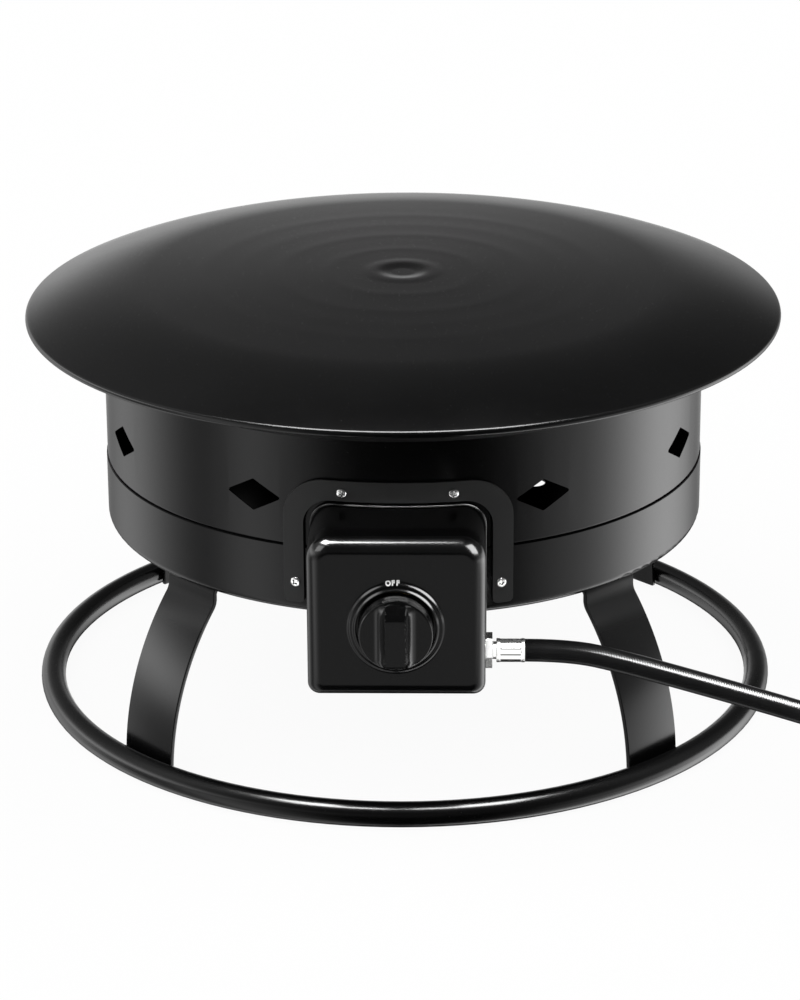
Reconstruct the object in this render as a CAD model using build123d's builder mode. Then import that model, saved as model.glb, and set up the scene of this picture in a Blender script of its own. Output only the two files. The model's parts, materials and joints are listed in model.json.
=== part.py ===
"""Portable propane fire pit: a lidded steel fire bowl on a drum, a tube base ring and four strip legs.

Millimetres, +Z up. The origin is on the floor at the centre of the base ring, and the control box
faces -Y. Azimuths are measured about Z from the front, positive towards +X.
"""

import os
from math import asin, atan2, cos, degrees, hypot, pi, radians, sin, sqrt, tan

from build123d import *

# Clearances
FIT = 0.3          # between pieces that are set side by side
RUNNING = 0.06     # between a shaft and the bore that it turns or slides in
SCREW_PLAY = 0.2   # round a screw in its hole
CUT_REACH = 6.0    # of a cutting shape past the wall that it opens

# Base ring and legs
RING_SPREAD = 40.2        # of the ring's centre line beyond the pan's side
RING_TUBE = 15.9
LEG_WIDTH = 43.0
LEG_STRIP = 3.0
LEG_TOP_BEND = 4.0        # radius of the fold under the pan
LEG_NECK = 2.5            # length of the upright neck below the fold
LEG_NECK_IN = 9.6         # of the neck inside the pan's side
LEG_NECK_BEND = 10.0      # radius of the reverse bend below the neck
LEG_FOOT_LENGTH = 30.0
LEG_LOW_END = 2.5         # height of a leg's lower edge above the floor
LEG_FIRST_ANGLE = 45.0    # azimuth of the first leg
LEG_PLACES = ("front_right", "rear_right", "rear_left", "front_left")
LEG_BOLT_SPACING = 20.0
LEG_BOLT = 5.0
LEG_BOLT_ACROSS = 8.0
LEG_BOLT_HEAD = 3.6
LEG_NUT_HEIGHT = 4.2
LEG_BOLT_TIP = 1.0        # of the bolt above its nut

# Drum: base pan below, burner shroud above, telescoped at the seam
PAN_RADIUS = 192.6
PAN_SHEET = 1.0
PAN_BOTTOM = 120.0
PAN_HEIGHT = 42.4
PAN_CORNER = 5.0
PAN_AIR_HOLE = 16.0
PAN_AIR_HOLES = 8
PAN_AIR_RADIUS = 92.0     # of the circle that the air holes lie on
SHROUD_SHEET = 0.8
SHROUD_STEP = 0.6         # how far the shroud stands back from the pan
SHROUD_EXPOSED = 72.6     # visible height above the pan
SHROUD_OVERLAP = 12.0
SEAM_GAP = 2.0
VENT_WIDTH = 38.0
VENT_HEIGHT = 20.5
VENT_CENTRE = 29.6        # above the pan's upper edge
VENT_CORNER = 1.2
VENT_SIDE_GAP = 1.86      # between the control flange and the vents beside it
VENT_COUNT = 9            # spread over the drum from one side of the flange to the other

# Fire bowl
BOWL_SHEET = 1.2
BOWL_DEPTH = 47.0
BOWL_WALL_RUN = 32.0      # horizontal run of the sloping wall
BOWL_SHELF_INSIDE = 8.0   # width of the shelf inside the shroud's outer face
BOWL_SHELF_OUTSIDE = 4.0
BOWL_BEND = 9.0
BOWL_BRIM = 35.0          # horizontal run of the sloping brim
BOWL_RIM_RISE = 22.7
BOWL_RIM_ROLL = 4.0

# Lid
LID_OVERHANG = 10.3       # beyond the middle of the bowl's rim
LID_SHEET = 1.0
LID_ROLL = 5.0
LID_SHOULDER = 76.3       # width of the rounded shoulder outside the nearly flat cap
LID_CAP_SLOPE = 2.4
LID_EDGE_SLOPE = 24.0
LID_DIMPLE_RADIUS = 12.0
LID_DIMPLE_DEPTH = 1.6
LID_DIMPLE_WALL = 3.0
LID_LIP_RADIUS = 18.0
LID_LIP_HEIGHT = 0.7
LID_LIP_FOOT = 24.0

# Burner and its feed
BURNER_RADIUS = 115.0
BURNER_TUBE = 19.0
BURNER_CROSS_TUBE = 16.0
BURNER_HUB = 32.0
BURNER_HUB_HEIGHT = 30.0
BURNER_CROWN = 2.0        # of the hub above the ring
BURNER_SPIGOT = 22.0
BURNER_SPIGOT_BORE = 12.0
BURNER_SPIGOT_LENGTH = 15.0
BURNER_PORT = 3.0
BURNER_PORTS = 24
LOCKNUT_ACROSS = 30.0
LOCKNUT_HEIGHT = 6.0
ORIFICE_ACROSS = 17.0
ORIFICE_HEX = 7.0
ORIFICE_THREAD = 6.0
ORIFICE_BORE = 2.0
PIPE = 8.0
PIPE_WALL = 1.0
PIPE_BEND = 15.5
PIPE_LEAD = 40.0          # level stretch behind the valve
PIPE_DROP = 30.0          # of the pipe's bend below the orifice
PIPE_HOLE = 18.0
PIPE_NUT_ACROSS = 13.0
PIPE_NUT_LENGTH = 10.0

# Control flange, screws and box
FLANGE_SHEET = 1.5
FLANGE_RISE = 7.0         # of its feet above the pan's bottom
FLANGE_CORNER = 26.0
FLANGE_BAND = 12.4
FLANGE_TOP_BAND = 12.8
FLANGE_SIDE_GAP = 4.45    # between the flange and the box's sides
FLANGE_TOP_GAP = 1.9      # and above the box
FLANGE_INNER_CORNER = 17.0
FLANGE_FOOT_CORNER = 3.0
FLANGE_SCREW_TOP_OUT = 33.4    # distance of the upper screws from the middle
FLANGE_SCREW_TOP_DROP = 7.2    # and below the plate's upper edge
FLANGE_SCREW_FOOT_IN = 7.6     # distance of the lower screws from the plate's side
FLANGE_SCREW_FOOT_RISE = 13.8  # and above its feet
SCREW = 3.8
SCREW_HEAD = 6.2
SCREW_HEAD_HEIGHT = 2.2
SCREW_TAIL = 5.0
BOX_WIDTH = 105.5
BOX_HEIGHT = 96.7
BOX_DROP = 23.2           # of its underside below the pan's bottom
BOX_DEPTH = 63.1          # in front of the drum
BOX_TOP_CORNER = 14.0
BOX_LOW_CORNER = 7.0
BOX_EDGE = 6.0
BOX_WALL = 2.5
BOX_TAB_WIDTH = 14.0
BOX_TAB_HEIGHT = 12.0
BOX_TAB_ROOT = 1.0        # of each tab inside the box's wall
BOX_SCREW_RISE = 18.0     # of the lower screws above the pan's bottom
BOX_SCREW_DROP = 12.5     # of the upper screws below the box's top

# Valve and knob, whose axis runs along Y
VALVE_RISE = 21.0         # of the knob's axis above the pan's bottom
VALVE_DEPTH = 41.0        # from the box's face to the valve's rear end
VALVE_BODY = 30.0
VALVE_BORE = 18.0
VALVE_FACE = 6.5          # thickness of the valve body's front wall
VALVE_COLLAR = 12.0
VALVE_COLLAR_LENGTH = 7.0
VALVE_NUT_ACROSS = 17.0
VALVE_NUT_HEIGHT = 3.5
VALVE_LEG = 24.0
VALVE_LEG_FLOOR = 1.5     # metal below the inlet tube
OUTLET_HEX = 20.0
OUTLET_HEX_LENGTH = 5.0
OUTLET_THREAD = 6.0
OUTLET_NIPPLE = 9.0
PLUG_LENGTH = 22.0
PLUG_END = 2.0            # thickness of its closed end
PLUG_PORT = 6.0
STEM = 6.0
STEM_FLAT = 1.8
STEM_IN_PLUG = 10.0
STEM_IN_HUB = 10.5
KNOB_TRAVEL = 3.0         # how far the knob is pushed in before it turns
KNOB_STOP = 0.5           # gap that is left behind the pushed knob
HUB_STOP = 1.0            # gap that is left behind its hub
KNOB_SKIRT = 45.0
KNOB_FACE = 41.5
KNOB_DEPTH = 9.5
KNOB_WALL = 2.0
KNOB_HUB = 13.0
KNOB_GRIP_WIDTH = 11.8
KNOB_GRIP_LENGTH = 30.0
KNOB_GRIP_HEIGHT = 12.0
KNOB_GRIP_FLARE = 3.4
BEZEL_GAP = 1.7           # round the knob's skirt
BEZEL_WIDTH = 6.8
BEZEL_CREST_IN = 2.8      # distance of the crest from the inner edge
BEZEL_HEIGHT = 2.6

# Gas inlet and hose
INLET_AHEAD = 10.0        # of the inlet's axis in front of the valve's rear end
INLET_DROP = 27.6         # of the inlet's axis below the knob's axis
INLET_TUBE = 13.0
INLET_BORE = 6.0
INLET_NUT_ACROSS = 19.0
INLET_NUT_LENGTH = 4.2
HOSE = 13.8
FERRULE_WALL = 0.4
FERRULE_LENGTH = 17.0
FERRULE_NECK = 10.6
FERRULE_NECK_LENGTH = 2.3
FERRULE_CRIMP = 0.5       # depth of the crimp's flats
FERRULE_COLLAR = 2.2
COIL_CENTRE_X = 420.0
COIL_TURNS = 5.25
COIL_MIDDLE_RADIUS = 76.0
COIL_SIDE_GAP = 0.8
COIL_LAYER_GAP = 0.7
COIL_END = 14.0           # straight run at each end of the coil
COIL_CLIMB = 0.25         # turns each side of the reversal over which it climbs a layer
TAIL_END = 20.0           # straight run at each end of the tail
TAIL_RUN = 24.0           # each of its two middle runs
TAIL_SIDE = 4.0           # how far the regulator lies inside the coil's edge
TAIL_FIRST_SIDE = 1.5
TAIL_FIRST_LIFT = 1.2

# Regulator and tank coupling, whose axis runs along Y
NUT_RADIUS = 27.0
NUT_LENGTH = 38.0
NUT_BORE = 33.2
NUT_LEAD_IN = 0.8         # depth of the mouth's step
NUT_MOUTH_LENGTH = 6.5
NUT_BACK = 5.0
NUT_GRIPS = 14
NUT_GRIP_DEPTH = 1.6
NIPPLE = 16.0
NIPPLE_FLANGE = 24.0
NIPPLE_FLANGE_LENGTH = 4.0
NIPPLE_NOSE = 13.0
NIPPLE_BORE = 5.0
NIPPLE_SETBACK = 1.0      # of its tip behind the mouth's step
SEAL_LENGTH = 5.0
SEAL = 18.0
REGULATOR_FERRULE_LENGTH = 20.0
REGULATOR_BOSS = 20.0
REGULATOR_BOSS_LENGTH = 10.0
REGULATOR_RADIUS = 31.0
REGULATOR_FLANGE = 5.0
REGULATOR_LOWER_RADIUS = 25.0
REGULATOR_LOWER = 15.0
REGULATOR_DRAFT = 6.0     # degrees
REGULATOR_BONNET = 14.0
BONNET_STEP = 2.0
BONNET_DRAFT = 18.0       # degrees
BONNET_VENT = 2.4
BONNET_VENT_IN = 6.0
REGULATOR_CAP_RADIUS = 12.0
REGULATOR_CAP = 6.0
CAP_DRAFT = 4.0           # degrees
REGULATOR_NECK = 9.0
REGULATOR_SCREWS = 6
REGULATOR_SCREW_IN = 3.5  # distance of the screws from the flange's edge
REGULATOR_SCREW = 3.6

# Heights and radii that follow from the sizes above
RING_RADIUS = PAN_RADIUS + RING_SPREAD
PAN_TOP = PAN_BOTTOM + PAN_HEIGHT
SHROUD_RADIUS = PAN_RADIUS - SHROUD_STEP
SHROUD_TOP = PAN_TOP + SHROUD_EXPOSED
SHROUD_LIP_RADIUS = PAN_RADIUS - PAN_SHEET - FIT
VENT_Z = PAN_TOP + VENT_CENTRE
SHELF = SHROUD_TOP + BOWL_SHEET / 2
BOWL_FLOOR = SHELF - BOWL_DEPTH
BOWL_RIM = SHELF + BOWL_RIM_RISE
BOWL_WALL_TOP = SHROUD_RADIUS - BOWL_SHELF_INSIDE
BOWL_FLOOR_RADIUS = BOWL_WALL_TOP - BOWL_WALL_RUN
BOWL_BRIM_START = SHROUD_RADIUS + BOWL_SHELF_OUTSIDE
BOWL_RIM_RADIUS = BOWL_BRIM_START + BOWL_BRIM
LID_RADIUS = BOWL_RIM_RADIUS + LID_OVERHANG
LID_CAP_RADIUS = LID_RADIUS - LID_SHOULDER
BURNER_BASE = BOWL_FLOOR + BOWL_SHEET / 2
FLANGE_RADIUS = PAN_RADIUS + FIT
FLANGE_FACE = FLANGE_RADIUS + FLANGE_SHEET
BOX_LOW = PAN_BOTTOM - BOX_DROP
BOX_TOP = BOX_LOW + BOX_HEIGHT
FLANGE_LOW = PAN_BOTTOM + FLANGE_RISE
FLANGE_TOP = BOX_TOP + FLANGE_TOP_GAP + FLANGE_TOP_BAND
FLANGE_HEIGHT = FLANGE_TOP - FLANGE_LOW
FLANGE_HALF_WIDTH = BOX_WIDTH / 2 + FLANGE_SIDE_GAP + FLANGE_BAND
VENT_FIRST = degrees(
    asin(FLANGE_HALF_WIDTH / FLANGE_FACE) + (VENT_WIDTH / 2 + VENT_SIDE_GAP) / SHROUD_RADIUS
)
BOX_FRONT = FLANGE_RADIUS + BOX_DEPTH
VALVE_HEIGHT = PAN_BOTTOM + VALVE_RISE
VALVE_REAR = BOX_FRONT - VALVE_DEPTH
INLET_HEIGHT = VALVE_HEIGHT - INLET_DROP
INLET_DEPTH = VALVE_REAR + INLET_AHEAD
KNOB_BACK = BOX_FRONT + KNOB_TRAVEL + KNOB_STOP
KNOB_FRONT = KNOB_BACK + KNOB_DEPTH
GRIP_TOP = KNOB_FRONT + KNOB_GRIP_HEIGHT
VALVE_FRONT = BOX_FRONT - BOX_WALL
BEZEL_IN = KNOB_SKIRT / 2 + BEZEL_GAP
FERRULE = HOSE + 2 * FERRULE_WALL
COIL_PITCH = HOSE + COIL_SIDE_GAP
COIL_LAYER = HOSE + COIL_LAYER_GAP
RING_HEIGHT = RING_TUBE / 2
LEG_FACE = sqrt((RING_RADIUS - RING_TUBE / 2) ** 2 - (LEG_WIDTH / 2) ** 2) - FIT


def radial_plane(azimuth):
    """Plane through the Z axis whose x runs outwards at an azimuth and whose y runs up."""
    a = radians(azimuth)
    return Plane(origin=(0, 0, 0), x_dir=(sin(a), -cos(a), 0), z_dir=(-cos(a), -sin(a), 0))


def outward_plane(azimuth, radius, height):
    """Plane that faces outwards from a point at an azimuth, radius and height."""
    a = radians(azimuth)
    return Plane(
        origin=(radius * sin(a), -radius * cos(a), height),
        x_dir=(cos(a), sin(a), 0),
        z_dir=(sin(a), -cos(a), 0),
    )


def front_plane(distance, height=VALVE_HEIGHT):
    """Plane square to the knob's axis, facing the front, at a distance in front of the origin."""
    return Plane(origin=(0, -distance, height), x_dir=(1, 0, 0), z_dir=(0, -1, 0))


def save(builder, label):
    """Label a finished piece and write it as a STEP file."""
    builder.part.label = label
    export_step(builder.part, f"parts/{label}.step")
    return builder.part


def hexagon(across):
    """Sketch a hexagon by the distance across its flats."""
    RegularPolygon(radius=across / 2, side_count=6, major_radius=False)


os.makedirs("parts", exist_ok=True)

# Base ring: one bent and welded tube that the whole fire pit stands on
with BuildPart() as base_ring:
    with BuildSketch(Plane.XZ):
        with Locations((RING_RADIUS, RING_HEIGHT)):
            Circle(RING_TUBE / 2)
    revolve(axis=Axis.Z)
save(base_ring, "base_ring")

# Legs: bent strips, upright where they meet the ring and again in a short neck, folded inwards under the pan
LEG_TOP = PAN_BOTTOM - LEG_STRIP / 2
LEG_PATH = LEG_FACE - LEG_STRIP / 2
FOLD_CENTRE_Z = LEG_TOP - LEG_TOP_BEND
NECK_X = PAN_RADIUS - LEG_NECK_IN
NECK_Z = FOLD_CENTRE_Z - LEG_NECK
FOLD_CENTRE_X = NECK_X - LEG_TOP_BEND
# The long bend and the reverse bend meet in one tangent and both start upright
LEG_SWEEP = 2 * degrees(atan2(LEG_PATH - NECK_X, NECK_Z - LEG_LOW_END))
LEG_BEND = (NECK_Z - LEG_LOW_END) / sin(radians(LEG_SWEEP)) - LEG_NECK_BEND
LEG_FOOT_X = FOLD_CENTRE_X - LEG_FOOT_LENGTH
LEG_BOLT_RADIUS = FOLD_CENTRE_X - LEG_FOOT_LENGTH / 2
LEG_ANGLES = [LEG_FIRST_ANGLE + 360 / len(LEG_PLACES) * n for n in range(len(LEG_PLACES))]


def leg_bolt_places(height):
    """Places of the leg bolts at a height, two across each leg."""
    places = []
    for azimuth in LEG_ANGLES:
        a = radians(azimuth)
        for side in (-LEG_BOLT_SPACING / 2, LEG_BOLT_SPACING / 2):
            x = LEG_BOLT_RADIUS * sin(a) + side * cos(a)
            y = -LEG_BOLT_RADIUS * cos(a) + side * sin(a)
            places.append((x, y, height))
    return places


for place, azimuth in zip(LEG_PLACES, LEG_ANGLES):
    with BuildPart() as leg:
        with BuildSketch(radial_plane(azimuth)):
            with BuildLine():
                CenterArc((LEG_PATH - LEG_BEND, LEG_LOW_END), LEG_BEND, 0, LEG_SWEEP)
                neck = CenterArc(
                    (NECK_X + LEG_NECK_BEND, NECK_Z), LEG_NECK_BEND, 180 + LEG_SWEEP, -LEG_SWEEP
                )
                fold = CenterArc((FOLD_CENTRE_X, FOLD_CENTRE_Z), LEG_TOP_BEND, 0, 90)
                Line(neck @ 1, fold @ 0)
                Line(fold @ 1, (LEG_FOOT_X, LEG_TOP))
            trace(line_width=LEG_STRIP)
        extrude(amount=LEG_WIDTH / 2, both=True)
        with Locations(*leg_bolt_places(LEG_TOP)):
            Cylinder(LEG_BOLT / 2 + SCREW_PLAY, 3 * LEG_STRIP, mode=Mode.SUBTRACT)
    save(leg, f"leg_{place}")

# Base pan: pressed dish with air holes, bolt holes and a pipe hole behind the control box
with BuildPart() as base_pan:
    with BuildSketch(Plane.XZ):
        with BuildLine():
            FilletPolyline(
                (0, PAN_BOTTOM + PAN_SHEET / 2),
                (PAN_RADIUS - PAN_SHEET / 2, PAN_BOTTOM + PAN_SHEET / 2),
                (PAN_RADIUS - PAN_SHEET / 2, PAN_TOP),
                radius=PAN_CORNER,
            )
        trace(line_width=PAN_SHEET)
    revolve(axis=Axis.Z)
    with BuildSketch(Plane.XY.offset(PAN_BOTTOM - PAN_SHEET)):
        with PolarLocations(PAN_AIR_RADIUS, PAN_AIR_HOLES, start_angle=180 / PAN_AIR_HOLES):
            Circle(PAN_AIR_HOLE / 2)
    extrude(amount=3 * PAN_SHEET, mode=Mode.SUBTRACT)
    with Locations(*leg_bolt_places(PAN_BOTTOM)):
        Cylinder(LEG_BOLT / 2 + SCREW_PLAY, 4 * PAN_SHEET, mode=Mode.SUBTRACT)
    with BuildSketch(front_plane(PAN_RADIUS - 6 * PAN_SHEET)):
        Circle(PIPE_HOLE / 2)
    extrude(amount=8 * PAN_SHEET, mode=Mode.SUBTRACT)

# Burner shroud: rolled sheet, joggled in at the seam and pierced by diamond vents
with BuildPart() as burner_shroud:
    with BuildSketch(Plane.XZ):
        with BuildLine():
            FilletPolyline(
                (SHROUD_LIP_RADIUS - SHROUD_SHEET / 2, PAN_TOP - SHROUD_OVERLAP),
                (SHROUD_LIP_RADIUS - SHROUD_SHEET / 2, PAN_TOP + SEAM_GAP / 4),
                (SHROUD_RADIUS - SHROUD_SHEET / 2, PAN_TOP + SEAM_GAP),
                (SHROUD_RADIUS - SHROUD_SHEET / 2, SHROUD_TOP),
                radius=SHROUD_SHEET,
            )
        trace(line_width=SHROUD_SHEET)
    revolve(axis=Axis.Z)
    for number in range(VENT_COUNT):
        vent_azimuth = VENT_FIRST + number * (360 - 2 * VENT_FIRST) / (VENT_COUNT - 1)
        with BuildSketch(outward_plane(vent_azimuth, SHROUD_RADIUS - CUT_REACH, VENT_Z)) as vent:
            with BuildLine():
                Polyline(
                    (-VENT_WIDTH / 2, 0),
                    (0, -VENT_HEIGHT / 2),
                    (VENT_WIDTH / 2, 0),
                    (0, VENT_HEIGHT / 2),
                    close=True,
                )
            make_face()
            fillet(vent.vertices(), VENT_CORNER)
        extrude(amount=2 * CUT_REACH, mode=Mode.SUBTRACT)

# Screw holes shared by the drum, the flange and the box
FLANGE_TOP_ANGLE = degrees(asin(FLANGE_SCREW_TOP_OUT / FLANGE_FACE))
FLANGE_FOOT_ANGLE = degrees(asin((FLANGE_HALF_WIDTH - FLANGE_SCREW_FOOT_IN) / FLANGE_FACE))
BOX_TAB_X = BOX_WIDTH / 2 - BOX_WALL - BOX_TAB_WIDTH / 2 + BOX_TAB_ROOT
BOX_TAB_ANGLE = degrees(asin(BOX_TAB_X / FLANGE_RADIUS))
FLANGE_SCREWS = (
    (-FLANGE_TOP_ANGLE, FLANGE_TOP - FLANGE_SCREW_TOP_DROP),
    (FLANGE_TOP_ANGLE, FLANGE_TOP - FLANGE_SCREW_TOP_DROP),
    (-FLANGE_FOOT_ANGLE, FLANGE_LOW + FLANGE_SCREW_FOOT_RISE),
    (FLANGE_FOOT_ANGLE, FLANGE_LOW + FLANGE_SCREW_FOOT_RISE),
)
BOX_SCREWS = (
    (-BOX_TAB_ANGLE, PAN_BOTTOM + BOX_SCREW_RISE),
    (BOX_TAB_ANGLE, PAN_BOTTOM + BOX_SCREW_RISE),
    (-BOX_TAB_ANGLE, BOX_TOP - BOX_SCREW_DROP),
    (BOX_TAB_ANGLE, BOX_TOP - BOX_SCREW_DROP),
)

with BuildPart() as screw_holes:
    for azimuth, height in (*FLANGE_SCREWS, *BOX_SCREWS):
        with BuildSketch(outward_plane(azimuth, SHROUD_LIP_RADIUS - CUT_REACH, height)):
            Circle(SCREW / 2 + SCREW_PLAY)
        extrude(amount=FLANGE_FACE - SHROUD_LIP_RADIUS + 2 * CUT_REACH)

for drum_piece, label in ((base_pan, "base_pan"), (burner_shroud, "burner_shroud")):
    with drum_piece:
        add(screw_holes.part, mode=Mode.SUBTRACT)
    save(drum_piece, label)

# Control flange: horseshoe plate bent round the drum
with BuildPart() as control_flange:
    with BuildSketch(Plane.XZ) as horseshoe:
        with Locations((0, (FLANGE_TOP + FLANGE_LOW) / 2)):
            Rectangle(2 * FLANGE_HALF_WIDTH, FLANGE_TOP - FLANGE_LOW)
        fillet(horseshoe.vertices().group_by(Axis.Y)[-1], FLANGE_CORNER)
        with BuildSketch(Plane.XZ, mode=Mode.PRIVATE) as mouth:
            with Locations((0, FLANGE_LOW + (FLANGE_HEIGHT - FLANGE_TOP_BAND - CUT_REACH) / 2)):
                Rectangle(
                    2 * (FLANGE_HALF_WIDTH - FLANGE_BAND),
                    FLANGE_HEIGHT - FLANGE_TOP_BAND + CUT_REACH,
                )
            fillet(mouth.vertices().group_by(Axis.Y)[-1], FLANGE_INNER_CORNER)
        add(mouth.sketch, mode=Mode.SUBTRACT)
        fillet(horseshoe.vertices().group_by(Axis.Y)[0], FLANGE_FOOT_CORNER)
    extrude(amount=FLANGE_RADIUS + 2 * FLANGE_SHEET)
    with BuildSketch(Plane.XY.offset(FLANGE_LOW - CUT_REACH)):
        Circle(FLANGE_FACE)
        Circle(FLANGE_RADIUS, mode=Mode.SUBTRACT)
    extrude(amount=FLANGE_HEIGHT + 2 * CUT_REACH, mode=Mode.INTERSECT)
    add(screw_holes.part, mode=Mode.SUBTRACT)
save(control_flange, "control_flange")


def screw(azimuth, seat, height, outwards=1):
    """Add one pan-head screw whose head sits on a cylinder of a given radius."""
    face = outward_plane(azimuth, seat, height)
    with BuildSketch(face) as head:
        Circle(SCREW_HEAD / 2)
    with BuildSketch(face) as shank:
        Circle(SCREW / 2)
    extrude(head.sketch, amount=outwards * SCREW_HEAD_HEIGHT)
    extrude(shank.sketch, amount=-outwards * SCREW_TAIL)


with BuildPart() as flange_screws:
    for azimuth, height in FLANGE_SCREWS:
        screw(azimuth, FLANGE_FACE, height)
    head_tops = flange_screws.faces().filter_by(
        lambda face: hypot(face.center().X, face.center().Y) > FLANGE_FACE + FIT
    ).filter_by(GeomType.PLANE)
    fillet(head_tops.edges(), SCREW_HEAD_HEIGHT / 2)
save(flange_screws, "flange_screws")

# Fire bowl: dish, flat shelf on the shroud, sloping brim and rolled rim
with BuildPart() as fire_bowl:
    with BuildSketch(Plane.XZ):
        with BuildLine():
            FilletPolyline(
                (0, BOWL_FLOOR),
                (BOWL_FLOOR_RADIUS, BOWL_FLOOR),
                (BOWL_WALL_TOP, SHELF),
                (BOWL_BRIM_START, SHELF),
                (BOWL_RIM_RADIUS, BOWL_RIM),
                radius=(BOWL_BEND, BOWL_BEND / 3, BOWL_BEND / 3),
            )
        trace(line_width=BOWL_SHEET)
        with Locations((BOWL_RIM_RADIUS, BOWL_RIM)):
            Circle(BOWL_RIM_ROLL / 2)
    revolve(axis=Axis.Z)
    with Locations((0, 0, BOWL_FLOOR)):
        Cylinder(BURNER_SPIGOT / 2 + FIT, 4 * BOWL_SHEET, mode=Mode.SUBTRACT)
save(fire_bowl, "fire_bowl")

# Lid profile: a nearly flat cap, a tangent shoulder and a rolled edge, from the edge's lowest point
CAP_BEND = LID_CAP_RADIUS / sin(radians(LID_CAP_SLOPE))
ROLL_X = LID_RADIUS - LID_ROLL / 2
EDGE_X = ROLL_X + LID_ROLL / 2 * sin(radians(LID_EDGE_SLOPE))
EDGE_Z = LID_ROLL / 2 * (1 + cos(radians(LID_EDGE_SLOPE)))
SHOULDER_BEND = (EDGE_X - LID_CAP_RADIUS) / (sin(radians(LID_EDGE_SLOPE)) - sin(radians(LID_CAP_SLOPE)))
SHOULDER_X = LID_CAP_RADIUS - SHOULDER_BEND * sin(radians(LID_CAP_SLOPE))
SHOULDER_Z = EDGE_Z - SHOULDER_BEND * cos(radians(LID_EDGE_SLOPE))
CAP_EDGE_Z = SHOULDER_Z + SHOULDER_BEND * cos(radians(LID_CAP_SLOPE))
CAP_TOP = CAP_EDGE_Z + CAP_BEND * (1 - cos(radians(LID_CAP_SLOPE)))
# The lid's underside rests on the bowl's rolled rim
RIM_CONTACT = SHOULDER_BEND - LID_SHEET - BOWL_RIM_ROLL / 2 - FIT
LID_EDGE = BOWL_RIM - SHOULDER_Z - sqrt(RIM_CONTACT ** 2 - (BOWL_RIM_RADIUS - SHOULDER_X) ** 2)


def cap_height(radius, depth=0.0):
    """Height of the lid's cap above its edge at a radius, less a depth."""
    return CAP_TOP - CAP_BEND + sqrt((CAP_BEND - depth) ** 2 - radius ** 2)


def lid_line(depth):
    """Draw the lid's profile from the centre to the edge, sunk by a depth along the surface normal."""
    dimple_z = cap_height(0, depth) - LID_DIMPLE_DEPTH
    slope_foot = (LID_DIMPLE_RADIUS + LID_DIMPLE_WALL, cap_height(LID_DIMPLE_RADIUS + LID_DIMPLE_WALL, depth))
    crest = (LID_LIP_RADIUS, cap_height(LID_LIP_RADIUS, depth) + LID_LIP_HEIGHT)
    lip_foot = (LID_LIP_FOOT, cap_height(LID_LIP_FOOT, depth))
    cap_mid = (LID_CAP_RADIUS / 2, cap_height(LID_CAP_RADIUS / 2, depth))
    cap_end_x = SHOULDER_X + (SHOULDER_BEND - depth) * sin(radians(LID_CAP_SLOPE))
    cap_end_z = SHOULDER_Z + (SHOULDER_BEND - depth) * cos(radians(LID_CAP_SLOPE))
    Polyline((0, dimple_z), (LID_DIMPLE_RADIUS, dimple_z), slope_foot)
    ThreePointArc(slope_foot, crest, lip_foot)
    ThreePointArc(lip_foot, cap_mid, (cap_end_x, cap_end_z))
    return CenterArc(
        (SHOULDER_X, SHOULDER_Z),
        SHOULDER_BEND - depth,
        90 - LID_CAP_SLOPE,
        LID_CAP_SLOPE - LID_EDGE_SLOPE,
    )


# Lid: spun sheet with a dimple in the middle
with BuildPart() as lid:
    with BuildSketch(Plane(origin=(0, 0, LID_EDGE), x_dir=(1, 0, 0), z_dir=(0, -1, 0))):
        with BuildLine():
            upper = lid_line(0)
            lower = lid_line(LID_SHEET)
            Line(upper @ 1, lower @ 1)
            Line((0, cap_height(0) - LID_DIMPLE_DEPTH), (0, cap_height(0, LID_SHEET) - LID_DIMPLE_DEPTH))
        make_face()
        with Locations((ROLL_X, LID_ROLL / 2)):
            Circle(LID_ROLL / 2)
    revolve(axis=Axis.Z)
save(lid, "lid")

# Burner: ring, cross tube, hub and threaded spigot in one welded piece
BURNER_HEIGHT = BURNER_BASE + BURNER_HUB_HEIGHT - BURNER_TUBE / 2 - BURNER_CROWN
with BuildPart() as burner_ring:
    with BuildSketch(Plane.XZ):
        with Locations((BURNER_RADIUS, BURNER_HEIGHT)):
            Circle(BURNER_TUBE / 2)
    revolve(axis=Axis.Z)
    with Locations((0, 0, BURNER_HEIGHT)):
        Cylinder(BURNER_CROSS_TUBE / 2, 2 * BURNER_RADIUS, rotation=(90, 0, 0))
    with BuildSketch(Plane.XY.offset(BURNER_BASE)):
        Circle(BURNER_HUB / 2)
    extrude(amount=BURNER_HUB_HEIGHT)
    with BuildSketch(Plane.XY.offset(BURNER_BASE)):
        Circle(BURNER_SPIGOT / 2)
    extrude(amount=-BURNER_SPIGOT_LENGTH)
    with BuildSketch(Plane.XY.offset(BURNER_BASE - BURNER_SPIGOT_LENGTH)):
        Circle(BURNER_SPIGOT_BORE / 2)
    extrude(amount=BURNER_SPIGOT_LENGTH + BURNER_HUB_HEIGHT / 2, mode=Mode.SUBTRACT)
    with BuildSketch(Plane.XY.offset(BURNER_HEIGHT + BURNER_TUBE / 4)):
        with PolarLocations(BURNER_RADIUS, BURNER_PORTS, start_angle=180 / BURNER_PORTS):
            Circle(BURNER_PORT / 2)
    extrude(amount=BURNER_TUBE, mode=Mode.SUBTRACT)
save(burner_ring, "burner_ring")

with BuildPart() as burner_locknut:
    with BuildSketch(Plane.XY.offset(BOWL_FLOOR - BOWL_SHEET / 2)):
        hexagon(LOCKNUT_ACROSS)
        Circle(BURNER_SPIGOT / 2 + RUNNING, mode=Mode.SUBTRACT)
    extrude(amount=-LOCKNUT_HEIGHT)
save(burner_locknut, "burner_locknut")

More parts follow.
